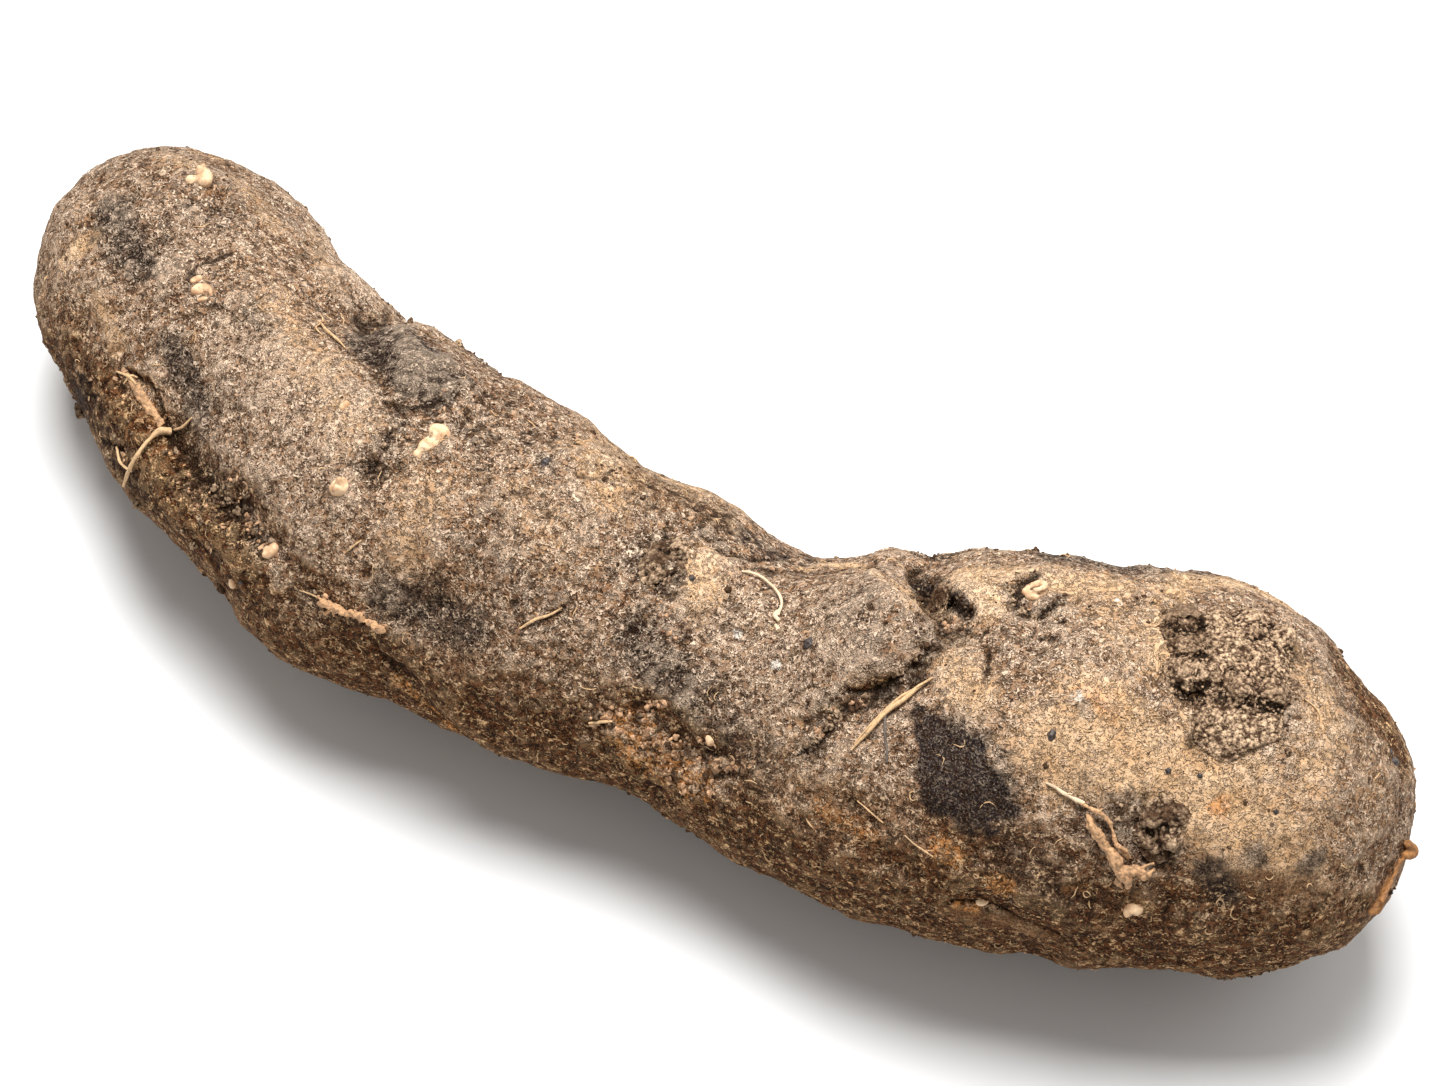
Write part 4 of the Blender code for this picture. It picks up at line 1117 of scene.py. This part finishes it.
# Buds: pixel, pixel that it points to, length, width and height in millimetres, scales on it.
BUDS = [
    ((442, 434), (452, 427), 3.1, 2.7, 1.1, 0),
    ((431, 444), (441, 436), 3.6, 1.9, 0.9, 0),
    ((420, 452), (430, 446), 2.0, 1.1, 0.6, 0),
    ((199, 290), (190, 294), 2.3, 1.5, 0.9, 2),
    ((203, 300), (210, 298), 1.6, 0.7, 0.6, 0),
    ((210, 292), (211, 300), 1.5, 0.6, 0.7, 0),
    ((197, 279), (206, 272), 1.6, 1.0, 0.6, 1),
    ((203, 176), (196, 170), 2.6, 2.0, 1.3, 3),
    ((190, 180), (186, 186), 1.4, 1.1, 0.8, 1),
    ((341, 487), (349, 482), 2.3, 2.0, 1.5, 2),
    ((1132, 908), (1122, 908), 2.0, 1.5, 1.2, 2),
    ((983, 901), (990, 897), 1.5, 1.1, 0.9, 1),
    ((233, 583), (228, 570), 1.6, 1.1, 0.8, 1),
    ((270, 552), (264, 558), 2.0, 1.5, 1.0, 2),
    ((345, 405), (349, 399), 1.5, 1.0, 0.6, 1),
    ((710, 741), (714, 746), 1.4, 0.9, 0.7, 1),
]


def bud_shape(bm, middle, along, across, up, length, width, height, scales):
    """A bud of overlapping scales, sunk in the skin."""
    turn = Matrix((along, across, up)).transposed().to_4x4()
    for k in range(scales + 1):
        share = 1 - 0.2 * k
        shift = along * length * MM * (0.16 * k - 0.08 * scales) + across * width * MM * 0.12 * (-1) ** k
        half_length, half_width = length * share / 2 * MM, width * share / 2 * MM
        size = Matrix.Diagonal((half_length, half_width, height * (0.75 + 0.2 * k) * MM, 1.0))
        lean = Matrix.Rotation(0.25 * (-1) ** k, 4, "Y")
        bmesh.ops.create_uvsphere(bm, u_segments=20, v_segments=14, radius=1.0,
                                  matrix=Matrix.Translation(middle + shift) @ turn @ lean @ size)


def buds(surface):
    """The pale buds and sprouts, seen and made up, as one piece."""
    bm = bmesh.new()
    for spot, toward, length, width, height, scales in BUDS:
        middle, up = surface.seen(*spot)
        along = surface.seen(*toward)[0] - middle
        along = (along - up * along.dot(up)).normalized()
        bud_shape(bm, middle - up * 0.1 * MM, along, up.cross(along), up, length, width, height, scales)
    rng = np.random.default_rng(5)
    mesh = surface.made.data
    points, out = points_of(mesh), outward_of(mesh)
    hidden = np.where((out @ np.array(BACK) < -0.3) & (points[:, 2] > 0.005))[0]
    for i in rng.choice(hidden, 16):
        up = Vector(out[i])
        along = up.cross(Vector(rng.normal(size=3))).normalized()
        length = rng.uniform(1.4, 3.0)
        bud_shape(bm, Vector(points[i]), along, up.cross(along), up, length, length * 0.7, length * 0.45, 2)
    curled_bud(bm, surface)
    mesh = bpy.data.meshes.new("buds")
    bm.to_mesh(mesh)
    bm.free()
    made = remeshed(object_from("buds", mesh), 0.00014)
    roughen(made, 0.0009, 0.00009)
    finish_piece(made, bud_material())


def curled_bud(bm, surface):
    """The fat bud in its pit near the thick end, with a curled rim."""
    middle, up = surface.seen(1038, 594)
    along = surface.seen(1056, 585)[0] - middle
    along = (along - up * along.dot(up)).normalized()
    across = up.cross(along)
    for k in range(22):
        turn = math.radians(130 - 13 * k)
        radius = (1.3 - 0.02 * k) * MM
        spot = middle + along * radius * math.cos(turn) + across * radius * math.sin(turn)
        size = (0.46 - 0.008 * k) * MM
        bmesh.ops.create_uvsphere(bm, u_segments=14, v_segments=10, radius=size,
                                  matrix=Matrix.Translation(spot + up * (0.55 + 0.02 * k) * MM))
    turn = Matrix((along, across, up)).transposed().to_4x4()
    for shift, rise, size in ((0.1, 0.0, (1.1, 1.0, 0.5)), (-0.9, 0.2, (0.7, 1.0, 0.6))):
        scale = Matrix.Diagonal((size[0] * MM, size[1] * MM, size[2] * MM, 1.0))
        bmesh.ops.create_uvsphere(bm, u_segments=20, v_segments=14, radius=1.0, matrix=Matrix.Translation(
            middle + along * shift * MM + up * rise * MM) @ turn @ scale)


def lump_templates(rng, count, subdivisions, rough):
    """A few different rough round lumps, a metre in radius."""
    made = []
    for _ in range(count):
        bm = bmesh.new()
        bmesh.ops.create_icosphere(bm, subdivisions=subdivisions, radius=1.0)
        shift = Vector(rng.normal(0, 9, 3))
        for vert in bm.verts:
            vert.co *= 1 + rough * noise.noise(vert.co * 1.4 + shift)
        mesh = bpy.data.meshes.new("lump")
        bm.to_mesh(mesh)
        bm.free()
        made.append(mesh)
    return made


def strewn(name, templates, matrices, rng):
    """Copies of the templates at these placings, as one mesh."""
    bm = bmesh.new()
    for matrix in matrices:
        copy = templates[rng.integers(len(templates))].copy()
        copy.transform(matrix)
        bm.from_mesh(copy)
        bpy.data.meshes.remove(copy)
    for template in templates:
        bpy.data.meshes.remove(template)
    mesh = bpy.data.meshes.new(name)
    bm.to_mesh(mesh)
    bm.free()
    return object_from(name, mesh)


def facing(up, rng, point, size, sink):
    """The placing of a lump: turned at random round the way out of the skin, and sunk into it."""
    spin = Matrix.Rotation(rng.uniform(0, 2 * math.pi), 4, "Z")
    stand = up.to_track_quat("Z", "Y").to_matrix().to_4x4()
    return Matrix.Translation(point - up * sink) @ stand @ spin @ Matrix.Diagonal((*size, 1.0))


def crumbs(surface, coat):
    """Crumbs of soil over the crust and out past its edge."""
    rng = np.random.default_rng(91)
    mesh = bpy.data.objects["crust_cake"].data
    points, out = points_of(mesh), outward_of(mesh)
    middle, up = surface.near(Vector(points.mean(axis=0)))
    shown = np.where(out @ np.array(up) > 0.15)[0]
    matrices = []
    for i in rng.choice(shown, 900):
        radius = 0.0001 + 0.00024 * rng.beta(1.5, 3.0)
        point, way = Vector(points[i]), Vector(out[i])
        spread = 1.0 if rng.random() < 0.8 else 1.0 + 0.22 * rng.random()
        if spread > 1:
            point, way = surface.near(middle + (point - middle) * spread)
        matrices.append(facing(way, rng, point, radius * rng.uniform(0.7, 1.3, 3), radius * 0.2))
    made = strewn("crust_crumbs", lump_templates(rng, 8, 1, 0.5), matrices, rng)
    points = points_of(made.data)
    store(made.data, "hollow", np.zeros(len(points)))
    store(made.data, "lightness", crust_lightness(surface, points))
    finish_piece(made, coat)


def grains(surface):
    """Loose grains of soil, thick where the skin is earthy and thin elsewhere."""
    rng = np.random.default_rng(21)
    mesh = surface.made.data
    points, out = points_of(mesh), outward_of(mesh)
    weight = 0.02 + attribute_of(mesh, "soil") ** 2 * 1.2 + attribute_of(mesh, "crease") * 0.4
    weight += attribute_of(mesh, "crumb") ** 2 * 0.25
    weight *= points[:, 2] > CLEAR_OF_FLOOR
    chosen = rng.choice(len(points), settings().grain_count, p=weight / weight.sum())
    matrices = []
    for i in chosen:
        radius = 0.00012 + 0.0004 * rng.beta(1.4, 4.0)
        size = radius * rng.uniform(0.7, 1.35, 3)
        matrices.append(facing(Vector(out[i]), rng, Vector(points[i]), size, radius * 0.15))
    made = strewn("soil_grains", lump_templates(rng, 8, 1, 0.55), matrices, rng)
    store(made.data, "hollow", np.zeros(len(made.data.vertices)))
    finish_piece(made, soil_material("loose_soil", 0.75))


# Clods of soil and bark that stand out of the skin: pixel and radius in pixels.
CLODS = [
    ((80, 411), 8), ((137, 503), 6.5), ((222, 588), 6.5), ((68, 380), 5), ((194, 545), 5), ((1252, 585), 5),
    ((44, 315), 4.5), ((108, 455), 5), ((246, 494), 5), ((238, 512), 6), ((228, 500), 4.5),
    ((252, 532), 5.5), ((262, 556), 5), ((214, 488), 4.5), ((200, 520), 5), ((243, 478), 4),
    ((176, 452), 4), ((598, 716), 5.5), ((612, 724), 4.5), ((624, 738), 4), ((640, 716), 5),
    ((668, 745), 4.5), ((690, 752), 5.5), ((704, 748), 4), ((676, 776), 5), ((694, 788), 5.5),
    ((706, 775), 4), ((658, 728), 4), ((724, 764), 6), ((740, 770), 4.5), ((646, 552), 5),
    ((656, 566), 5.5), ((668, 580), 4.5), ((662, 545), 4), ((676, 560), 4), ((650, 585), 4),
    ((848, 700), 5), ((838, 714), 6), ((828, 726), 5), ((818, 738), 5), ((858, 706), 5), ((866, 698), 4.5),
    ((836, 736), 4), ((806, 744), 4.5), ((884, 684), 4), ((900, 672), 4), ((913, 658), 4), ((926, 646), 4),
    ((936, 630), 4.5), ((948, 620), 4.5), ((930, 616), 4), ((958, 628), 4), ((920, 600), 4.5),
    ((944, 608), 4), ((1010, 590), 4.5), ((1012, 602), 4.5), ((1022, 612), 4.5), ((1034, 618), 4),
    ((1018, 578), 4), ((376, 458), 4.5), ((366, 470), 4), ((384, 446), 4), ((394, 436), 4),
    ((360, 462), 3.5), ((470, 436), 4), ((478, 442), 3.5), ((462, 424), 3.5), ((556, 452), 3.5),
    ((500, 450), 3.5), ((1118, 820), 4), ((1160, 812), 4), ((1162, 850), 4), ((1120, 806), 3.5),
    ((1164, 612), 4), ((1168, 668), 4), ((1296, 700), 4), ((1288, 752), 4), ((1200, 738), 4),
    ((370, 315), 4), ((392, 318), 5), ((410, 322), 4),
]


def clods(surface):
    """Clods of soil, those of the photograph and more on the unseen side."""
    rng = np.random.default_rng(77)
    matrices = []
    for spot, radius in CLODS:
        point, up = surface.seen(*spot)
        size = radius * PIXEL * rng.uniform(0.7, 1.1, 3)
        matrices.append(facing(up, rng, point, size, radius * PIXEL * 0.25))
    mesh = surface.made.data
    points, out = points_of(mesh), outward_of(mesh)
    hidden = np.where((out @ np.array(BACK) < 0) & (points[:, 2] > CLEAR_OF_FLOOR))[0]
    for i in rng.choice(hidden, 60):
        radius = rng.uniform(0.0003, 0.0008)
        size = radius * rng.uniform(0.7, 1.1, 3)
        matrices.append(facing(Vector(out[i]), rng, Vector(points[i]), size, radius * 0.3))
    made = strewn("clods", lump_templates(rng, 9, 3, 0.75), matrices, rng)
    mesh = made.data
    points = points_of(mesh)
    points += outward_of(mesh) * (rough_noise(points, 0.0006, 2, 3.0) * 0.00012)[:, None]
    set_points(mesh, points)
    edges = edges_of(mesh)
    fine = ((eased(points, edges, 3) - points) * outward_of(mesh)).sum(axis=1) / 0.00008
    store(mesh, "hollow", np.clip(fine, -1, 1))
    finish_piece(made, soil_material("clod_soil", 0.85))


# Where crumbs of dry bark lie: both ends in pixels, how far they spread, how many, radius in pixels.
BARK_CRUMBS = [
    ((592, 724), (614, 714), 7, 16, 4.5), ((648, 706), (662, 702), 5, 9, 4.5),
    ((626, 730), (700, 756), 17, 46, 3.2), ((660, 770), (706, 786), 11, 26, 3.4),
    ((716, 762), (730, 768), 5, 9, 5.0), ((322, 600), (340, 612), 6, 10, 3.0),
    ((352, 610), (382, 628), 5, 10, 2.6), ((232, 474), (256, 540), 9, 18, 2.8),
    ((264, 548), (274, 556), 4, 7, 3.6), ((186, 480), (222, 532), 12, 16, 2.4),
    ((120, 372), (140, 384), 5, 8, 2.6), ((846, 702), (816, 734), 9, 10, 3.0),
    ((936, 616), (962, 630), 8, 8, 2.4), ((655, 590), (672, 640), 8, 12, 2.6),
    ((500, 410), (600, 450), 20, 22, 2.2),
]


def bark_crumbs(surface):
    """Crumbs of dry bark, in the places that the photograph shows."""
    rng = np.random.default_rng(44)
    matrices = []
    for one, two, spread, count, radius in BARK_CRUMBS:
        for _ in range(count):
            spot = np.array(one) + (np.array(two) - one) * rng.random() + rng.normal(0, spread / 2, 2)
            size = radius * PIXEL * rng.uniform(0.4, 1.1) * rng.uniform(0.6, 1.2, 3)
            point, up = surface.seen(*spot)
            matrices.append(facing(up, rng, point, size, size[2] * 0.1))
    made = strewn("bark_crumbs", lump_templates(rng, 9, 2, 0.7), matrices, rng)
    coat, g, shader, place = new_material("bark_crumb")
    tone = g.noise(place, 900.0, 4.0, 0.7)
    g.put(shader.inputs["Base Color"], g.mix(g.ease(tone, 0.36, 0.62), rgb(104, 70, 45), rgb(212, 168, 128)))
    shader.inputs["Roughness"].default_value = 0.8
    bump(g, shader, tone, 0.0001)
    finish_piece(made, coat)


# Small stones: pixel and radius in pixels.
STONES = [
    ((808, 643), 6.5), ((545, 462), 6.0), ((1052, 735), 5.5), ((1395, 761), 6.0), ((1200, 776), 3.0),
    ((1168, 771), 3.5), ((1276, 812), 3.0), ((692, 578), 4.0), ((1391, 752), 3.5), ((240, 582), 3.0),
]


def stones(surface):
    """Small dark stones stuck to the skin."""
    rng = np.random.default_rng(8)
    matrices = []
    for spot, radius in STONES:
        point, up = surface.seen(*spot)
        size = np.array((1.0, 0.72, 0.6)) * radius * PIXEL
        matrices.append(facing(up, rng, point, size, radius * PIXEL * 0.1))
    mesh = surface.made.data
    points, out = points_of(mesh), outward_of(mesh)
    hidden = np.where((out @ np.array(BACK) < 0) & (points[:, 2] > CLEAR_OF_FLOOR))[0]
    for i in rng.choice(hidden, 12):
        size = np.array((1.0, 0.75, 0.6)) * rng.uniform(0.0003, 0.0008)
        matrices.append(facing(Vector(out[i]), rng, Vector(points[i]), size, 0.0001))
    made = strewn("small_stones", lump_templates(rng, 5, 3, 0.45), matrices, rng)
    coat, g, shader, place = new_material("dark_stone")
    spots = g.noise(place, 2600.0, 3.0, 0.7)
    g.put(shader.inputs["Base Color"], g.mix(g.ease(spots, 0.35, 0.7), rgb(34, 28, 27), rgb(84, 70, 62)))
    shader.inputs["Roughness"].default_value = 0.5
    bump(g, shader, spots, 0.00008)
    finish_piece(made, coat)


def root_hairs(surface):
    """Fine dry hairs that cling to the skin, laid along it."""
    rng = np.random.default_rng(33)
    mesh = surface.made.data
    points, out = points_of(mesh), outward_of(mesh)
    usable = np.where(points[:, 2] > CLEAR_OF_FLOOR)[0]
    lines = []
    for i in rng.choice(usable, settings().hair_count):
        point, up = Vector(points[i]), Vector(out[i])
        way = up.cross(Vector(rng.normal(size=3))).normalized()
        steps = int(rng.integers(5, 11))
        radius = rng.uniform(0.00005, 0.0001)
        line = []
        bend = rng.normal(0, 0.35)
        for k in range(steps):
            lift = radius * 0.8 + 0.00012 * math.sin(k * 1.1 + i)
            line.append((*(point + up * lift), radius * (1 - 0.6 * abs(2 * k / (steps - 1) - 1))))
            way = (Matrix.Rotation(bend + rng.normal(0, 0.25), 3, up) @ way).normalized()
            point, up = surface.near(point + way * 0.00028)
        lines.append(line)
    for stations in HAIRS:
        lines.append([tuple(row) for row in root_line(surface, stations, 0.08, len(lines))])
    made = strands("root_hairs", lines, 1)
    look = settings()
    finish_piece(made, root_material("dry_hair", look.straw[:], 0.6))


# Fine roots that show in the photograph: pixel, radius and lift in millimetres.
HAIRS = [
    [(318, 323, 0.12, 0.1), (328, 335, 0.2, 0.3), (338, 343, 0.16, 0.2), (345, 349, 0.08, 0.1)],
    [(320, 325, 0.1, 0.1), (316, 330, 0.1, 0.2), (322, 336, 0.08, 0.1)],
    [(520, 628, 0.14, 0.1), (535, 618, 0.22, 0.2), (550, 613, 0.16, 0.2), (562, 607, 0.08, 0.1)],
    [(118, 372, 0.14, 0.1), (130, 378, 0.22, 0.4), (138, 386, 0.14, 0.2)],
    [(126, 383, 0.12, 0.2), (133, 372, 0.16, 0.5), (140, 376, 0.1, 0.3)],
    [(345, 553, 0.08, 0.1), (355, 546, 0.12, 0.2), (362, 540, 0.08, 0.1)],
    [(300, 590, 0.06, 0.1), (314, 594, 0.11, 0.2), (325, 600, 0.11, 0.2)],
    [(858, 800, 0.08, 0.1), (872, 812, 0.1, 0.2), (884, 822, 0.08, 0.1)],
    [(905, 835, 0.08, 0.1), (920, 847, 0.1, 0.2), (934, 856, 0.08, 0.1)],
    [(590, 722, 0.12, 0.1), (602, 718, 0.2, 0.4), (614, 720, 0.12, 0.2)],
    [(1305, 700, 0.08, 0.1), (1318, 714, 0.1, 0.2), (1320, 728, 0.08, 0.1)],
]


# Peeling flakes that show in the photograph: pixel and half length in millimetres.
FLAKES = [
    ((601, 718), 1.0), ((595, 724), 0.7), ((609, 713), 0.6), ((650, 706), 0.9), ((660, 702), 0.7),
    ((640, 712), 0.5), ((722, 764), 1.1), ((714, 768), 0.7), ((733, 760), 0.6), ((744, 769), 0.8),
    ((752, 764), 0.6), ((700, 740), 0.6), ((712, 744), 0.7), ((686, 760), 0.7), ((672, 752), 0.6),
    ((655, 742), 0.6), ((630, 728), 0.7), ((618, 734), 0.5), ((696, 786), 0.8), ((680, 792), 0.6),
    ((710, 792), 0.7), ((668, 776), 0.6), ((272, 552), 1.0), ((264, 546), 0.7), ((280, 560), 0.6),
    ((238, 474), 0.8), ((226, 480), 0.9), ((246, 486), 0.6), ((258, 520), 0.6), ((196, 508), 0.6),
    ((126, 374), 0.9), ((134, 380), 0.7), ((118, 380), 0.6), ((92, 378), 0.6), ((106, 396), 0.5),
    ((150, 428), 0.7), ((166, 416), 0.5), ((124, 458), 0.7), ((114, 446), 0.5), ((345, 404), 0.5),
    ((342, 409), 0.4), ((600, 528), 0.5), ((520, 628), 0.6), ((560, 606), 0.5), ((536, 616), 0.5),
    ((1168, 900), 0.4), ((1130, 912), 0.6), ((1138, 906), 0.5), ((984, 900), 0.6), ((992, 906), 0.5),
    ((856, 822), 0.6), ((870, 832), 0.5), ((846, 812), 0.5), ((1312, 795), 0.5), ((388, 628), 0.7),
    ((324, 612), 0.6), ((336, 598), 0.5), ((362, 606), 0.6), ((374, 632), 0.5), ((930, 850), 0.5),
]


def flakes(surface):
    """Peeling flakes of skin, thin curled plates."""
    rng = np.random.default_rng(55)
    templates = []
    for _ in range(7):
        bm = bmesh.new()
        bmesh.ops.create_grid(bm, x_segments=4, y_segments=3, size=1.0)
        curl, twist = rng.uniform(0.2, 0.7), rng.uniform(-0.4, 0.4)
        for vert in bm.verts:
            vert.co.y *= 0.55 * (1 - 0.5 * abs(vert.co.x) ** 2)
            vert.co.z += curl * vert.co.x ** 2 + twist * vert.co.x * vert.co.y
            vert.co += Vector(rng.normal(0, 0.06, 3))
        bmesh.ops.solidify(bm, geom=bm.faces[:], thickness=0.16)
        bmesh.ops.recalc_face_normals(bm, faces=bm.faces)
        mesh = bpy.data.meshes.new("flake")
        bm.to_mesh(mesh)
        bm.free()
        templates.append(mesh)
    mesh = surface.made.data
    points, out = points_of(mesh), outward_of(mesh)
    weight = 0.06 + attribute_of(mesh, "rust") + 0.4 * attribute_of(mesh, "soil")
    weight += 0.3 * attribute_of(mesh, "crumb")
    weight *= points[:, 2] > CLEAR_OF_FLOOR
    matrices = []
    for spot, half in FLAKES:
        point, up = surface.seen(*spot)
        matrices.append(facing(up, rng, point, (half * MM, half * MM * 0.9, half * MM), half * MM * 0.05))
    for i in rng.choice(len(points), settings().flake_count, p=weight / weight.sum()):
        radius = 0.0002 + 0.0006 * rng.beta(1.5, 3.5)
        size = (radius, radius, radius)
        matrices.append(facing(Vector(out[i]), rng, Vector(points[i]), size, radius * 0.1))
    made = strewn("skin_flakes", templates, matrices, rng)
    coat, g, shader, place = new_material("flaky_skin")
    tone = g.noise(place, 700.0, 4.0, 0.7)
    g.put(shader.inputs["Base Color"], g.mix(g.ease(tone, 0.35, 0.65), rgb(120, 86, 60), rgb(205, 165, 126)))
    shader.inputs["Roughness"].default_value = 0.7
    bump(g, shader, tone, 0.00008)
    finish_piece(made, coat)


# The lamps: name, place and size in metres, power in watts.
LAMPS = [("key", (-0.08, 0.16, 0.76), 0.34, 9.2), ("fill", (0.3, 0.5, 0.5), 0.7, 1.5)]


def stage():
    """The camera, the pale floor and the soft light."""
    scene = bpy.context.scene
    camera = bpy.data.objects.new("camera", bpy.data.cameras.new("camera"))
    scene.collection.objects.link(camera)
    camera.data.lens = LENS_MM
    camera.data.sensor_width = SENSOR_MM
    camera.location = EYE
    camera.rotation_euler = (-BACK).to_track_quat("-Z", "Y").to_euler()
    scene.camera = camera
    bm = bmesh.new()
    bmesh.ops.create_grid(bm, x_segments=1, y_segments=1, size=3.0)
    mesh = bpy.data.meshes.new("floor")
    bm.to_mesh(mesh)
    bm.free()
    floor = object_from("floor", mesh)
    coat, _, shader, _ = new_material("pale_floor")
    shader.inputs["Base Color"].default_value = (*settings().floor, 1.0)
    shader.inputs["Roughness"].default_value = 0.9
    floor.data.materials.append(coat)
    for name, place, size, power in LAMPS:
        lamp = bpy.data.objects.new(name, bpy.data.lights.new(name, "AREA"))
        lamp.data.size = size
        lamp.data.energy = power
        lamp.location = place
        lamp.rotation_euler = (Vector(place) - CAMERA_TARGET).to_track_quat("Z", "Y").to_euler()
        scene.collection.objects.link(lamp)
    world = bpy.data.worlds.new("studio")
    world.use_nodes = True
    world.node_tree.nodes["Background"].inputs["Color"].default_value = (1.0, 0.98, 0.95, 1.0)
    world.node_tree.nodes["Background"].inputs["Strength"].default_value = 0.39
    scene.world = world
    scene.view_settings.view_transform = "Standard"


def skin_surface():
    return Surface(bpy.data.objects["skin"])


class POTATO_OT_stage(bpy.types.Operator):
    """Set up the camera, floor and light"""
    bl_idname = "potato.stage"
    bl_label = "Stage"

    def execute(self, context):
        stage()
        return {"FINISHED"}


class POTATO_OT_skin(bpy.types.Operator):
    """Make the fine earthy skin of the tuber"""
    bl_idname = "potato.skin"
    bl_label = "Skin"

    def execute(self, context):
        fine_skin()
        return {"FINISHED"}


class POTATO_OT_soil(bpy.types.Operator):
    """Make the cakes of dried soil and the loose grains"""
    bl_idname = "potato.soil"
    bl_label = "Soil"

    def execute(self, context):
        surface = skin_surface()
        crust = soil_material("crust_soil", 1.0, True)
        dark = soil_material("dark_soil", 0.9)
        cake(surface, "soil_crust", "crust_cake", crust, 0.00017, 0.0006, 0.00026, 0.0003)
        cake(surface, "soil_by_stolon", "stolon_clod", dark, 0.00018, 0.001, 0.00034, 0.00025)
        cake(surface, "soil_in_crease", "crease_soil", dark, 0.00018, 0.001, 0.00034, 0.00025)
        cake(surface, "soil_by_bare_patch", "bare_patch_soil", dark, 0.00018, 0.001, 0.00034, 0.00025)
        crumbs(surface, crust)
        grains(surface)
        clods(surface)
        return {"FINISHED"}


class POTATO_OT_buds(bpy.types.Operator):
    """Make the pale buds and sprouts"""
    bl_idname = "potato.buds"
    bl_label = "Buds"

    def execute(self, context):
        buds(skin_surface())
        return {"FINISHED"}


class POTATO_OT_roots(bpy.types.Operator):
    """Make the stolon, the dry roots and the fine hairs"""
    bl_idname = "potato.roots"
    bl_label = "Roots"

    def execute(self, context):
        surface = skin_surface()
        roots(surface)
        root_hairs(surface)
        return {"FINISHED"}


class POTATO_OT_litter(bpy.types.Operator):
    """Make the small stones and the peeling flakes"""
    bl_idname = "potato.litter"
    bl_label = "Stones and flakes"

    def execute(self, context):
        surface = skin_surface()
        stones(surface)
        bark_crumbs(surface)
        flakes(surface)
        return {"FINISHED"}


class POTATO_PT_panel(bpy.types.Panel):
    """The potato's settings and pieces"""
    bl_label = "Unwashed potato"
    bl_idname = "POTATO_PT_panel"
    bl_space_type = "VIEW_3D"
    bl_region_type = "UI"
    bl_category = "Potato"

    def draw(self, context):
        look = context.scene.potato
        for name in PotatoSettings.__annotations__:
            self.layout.prop(look, name)
        for operator in OPERATORS:
            self.layout.operator(operator.bl_idname)


OPERATORS = (POTATO_OT_stage, POTATO_OT_skin, POTATO_OT_soil, POTATO_OT_buds, POTATO_OT_roots,
             POTATO_OT_litter)
CLASSES = (PotatoSettings, *OPERATORS, POTATO_PT_panel)


def register():
    for entry in CLASSES:
        bpy.utils.register_class(entry)
    bpy.types.Scene.potato = PointerProperty(type=PotatoSettings)


def unregister():
    del bpy.types.Scene.potato
    for entry in reversed(CLASSES):
        bpy.utils.unregister_class(entry)


def main():
    register()
    bpy.ops.potato.stage()
    bpy.ops.potato.skin()
    bpy.ops.potato.soil()
    bpy.ops.potato.buds()
    bpy.ops.potato.roots()
    bpy.ops.potato.litter()


if __name__ == "__main__":
    main()
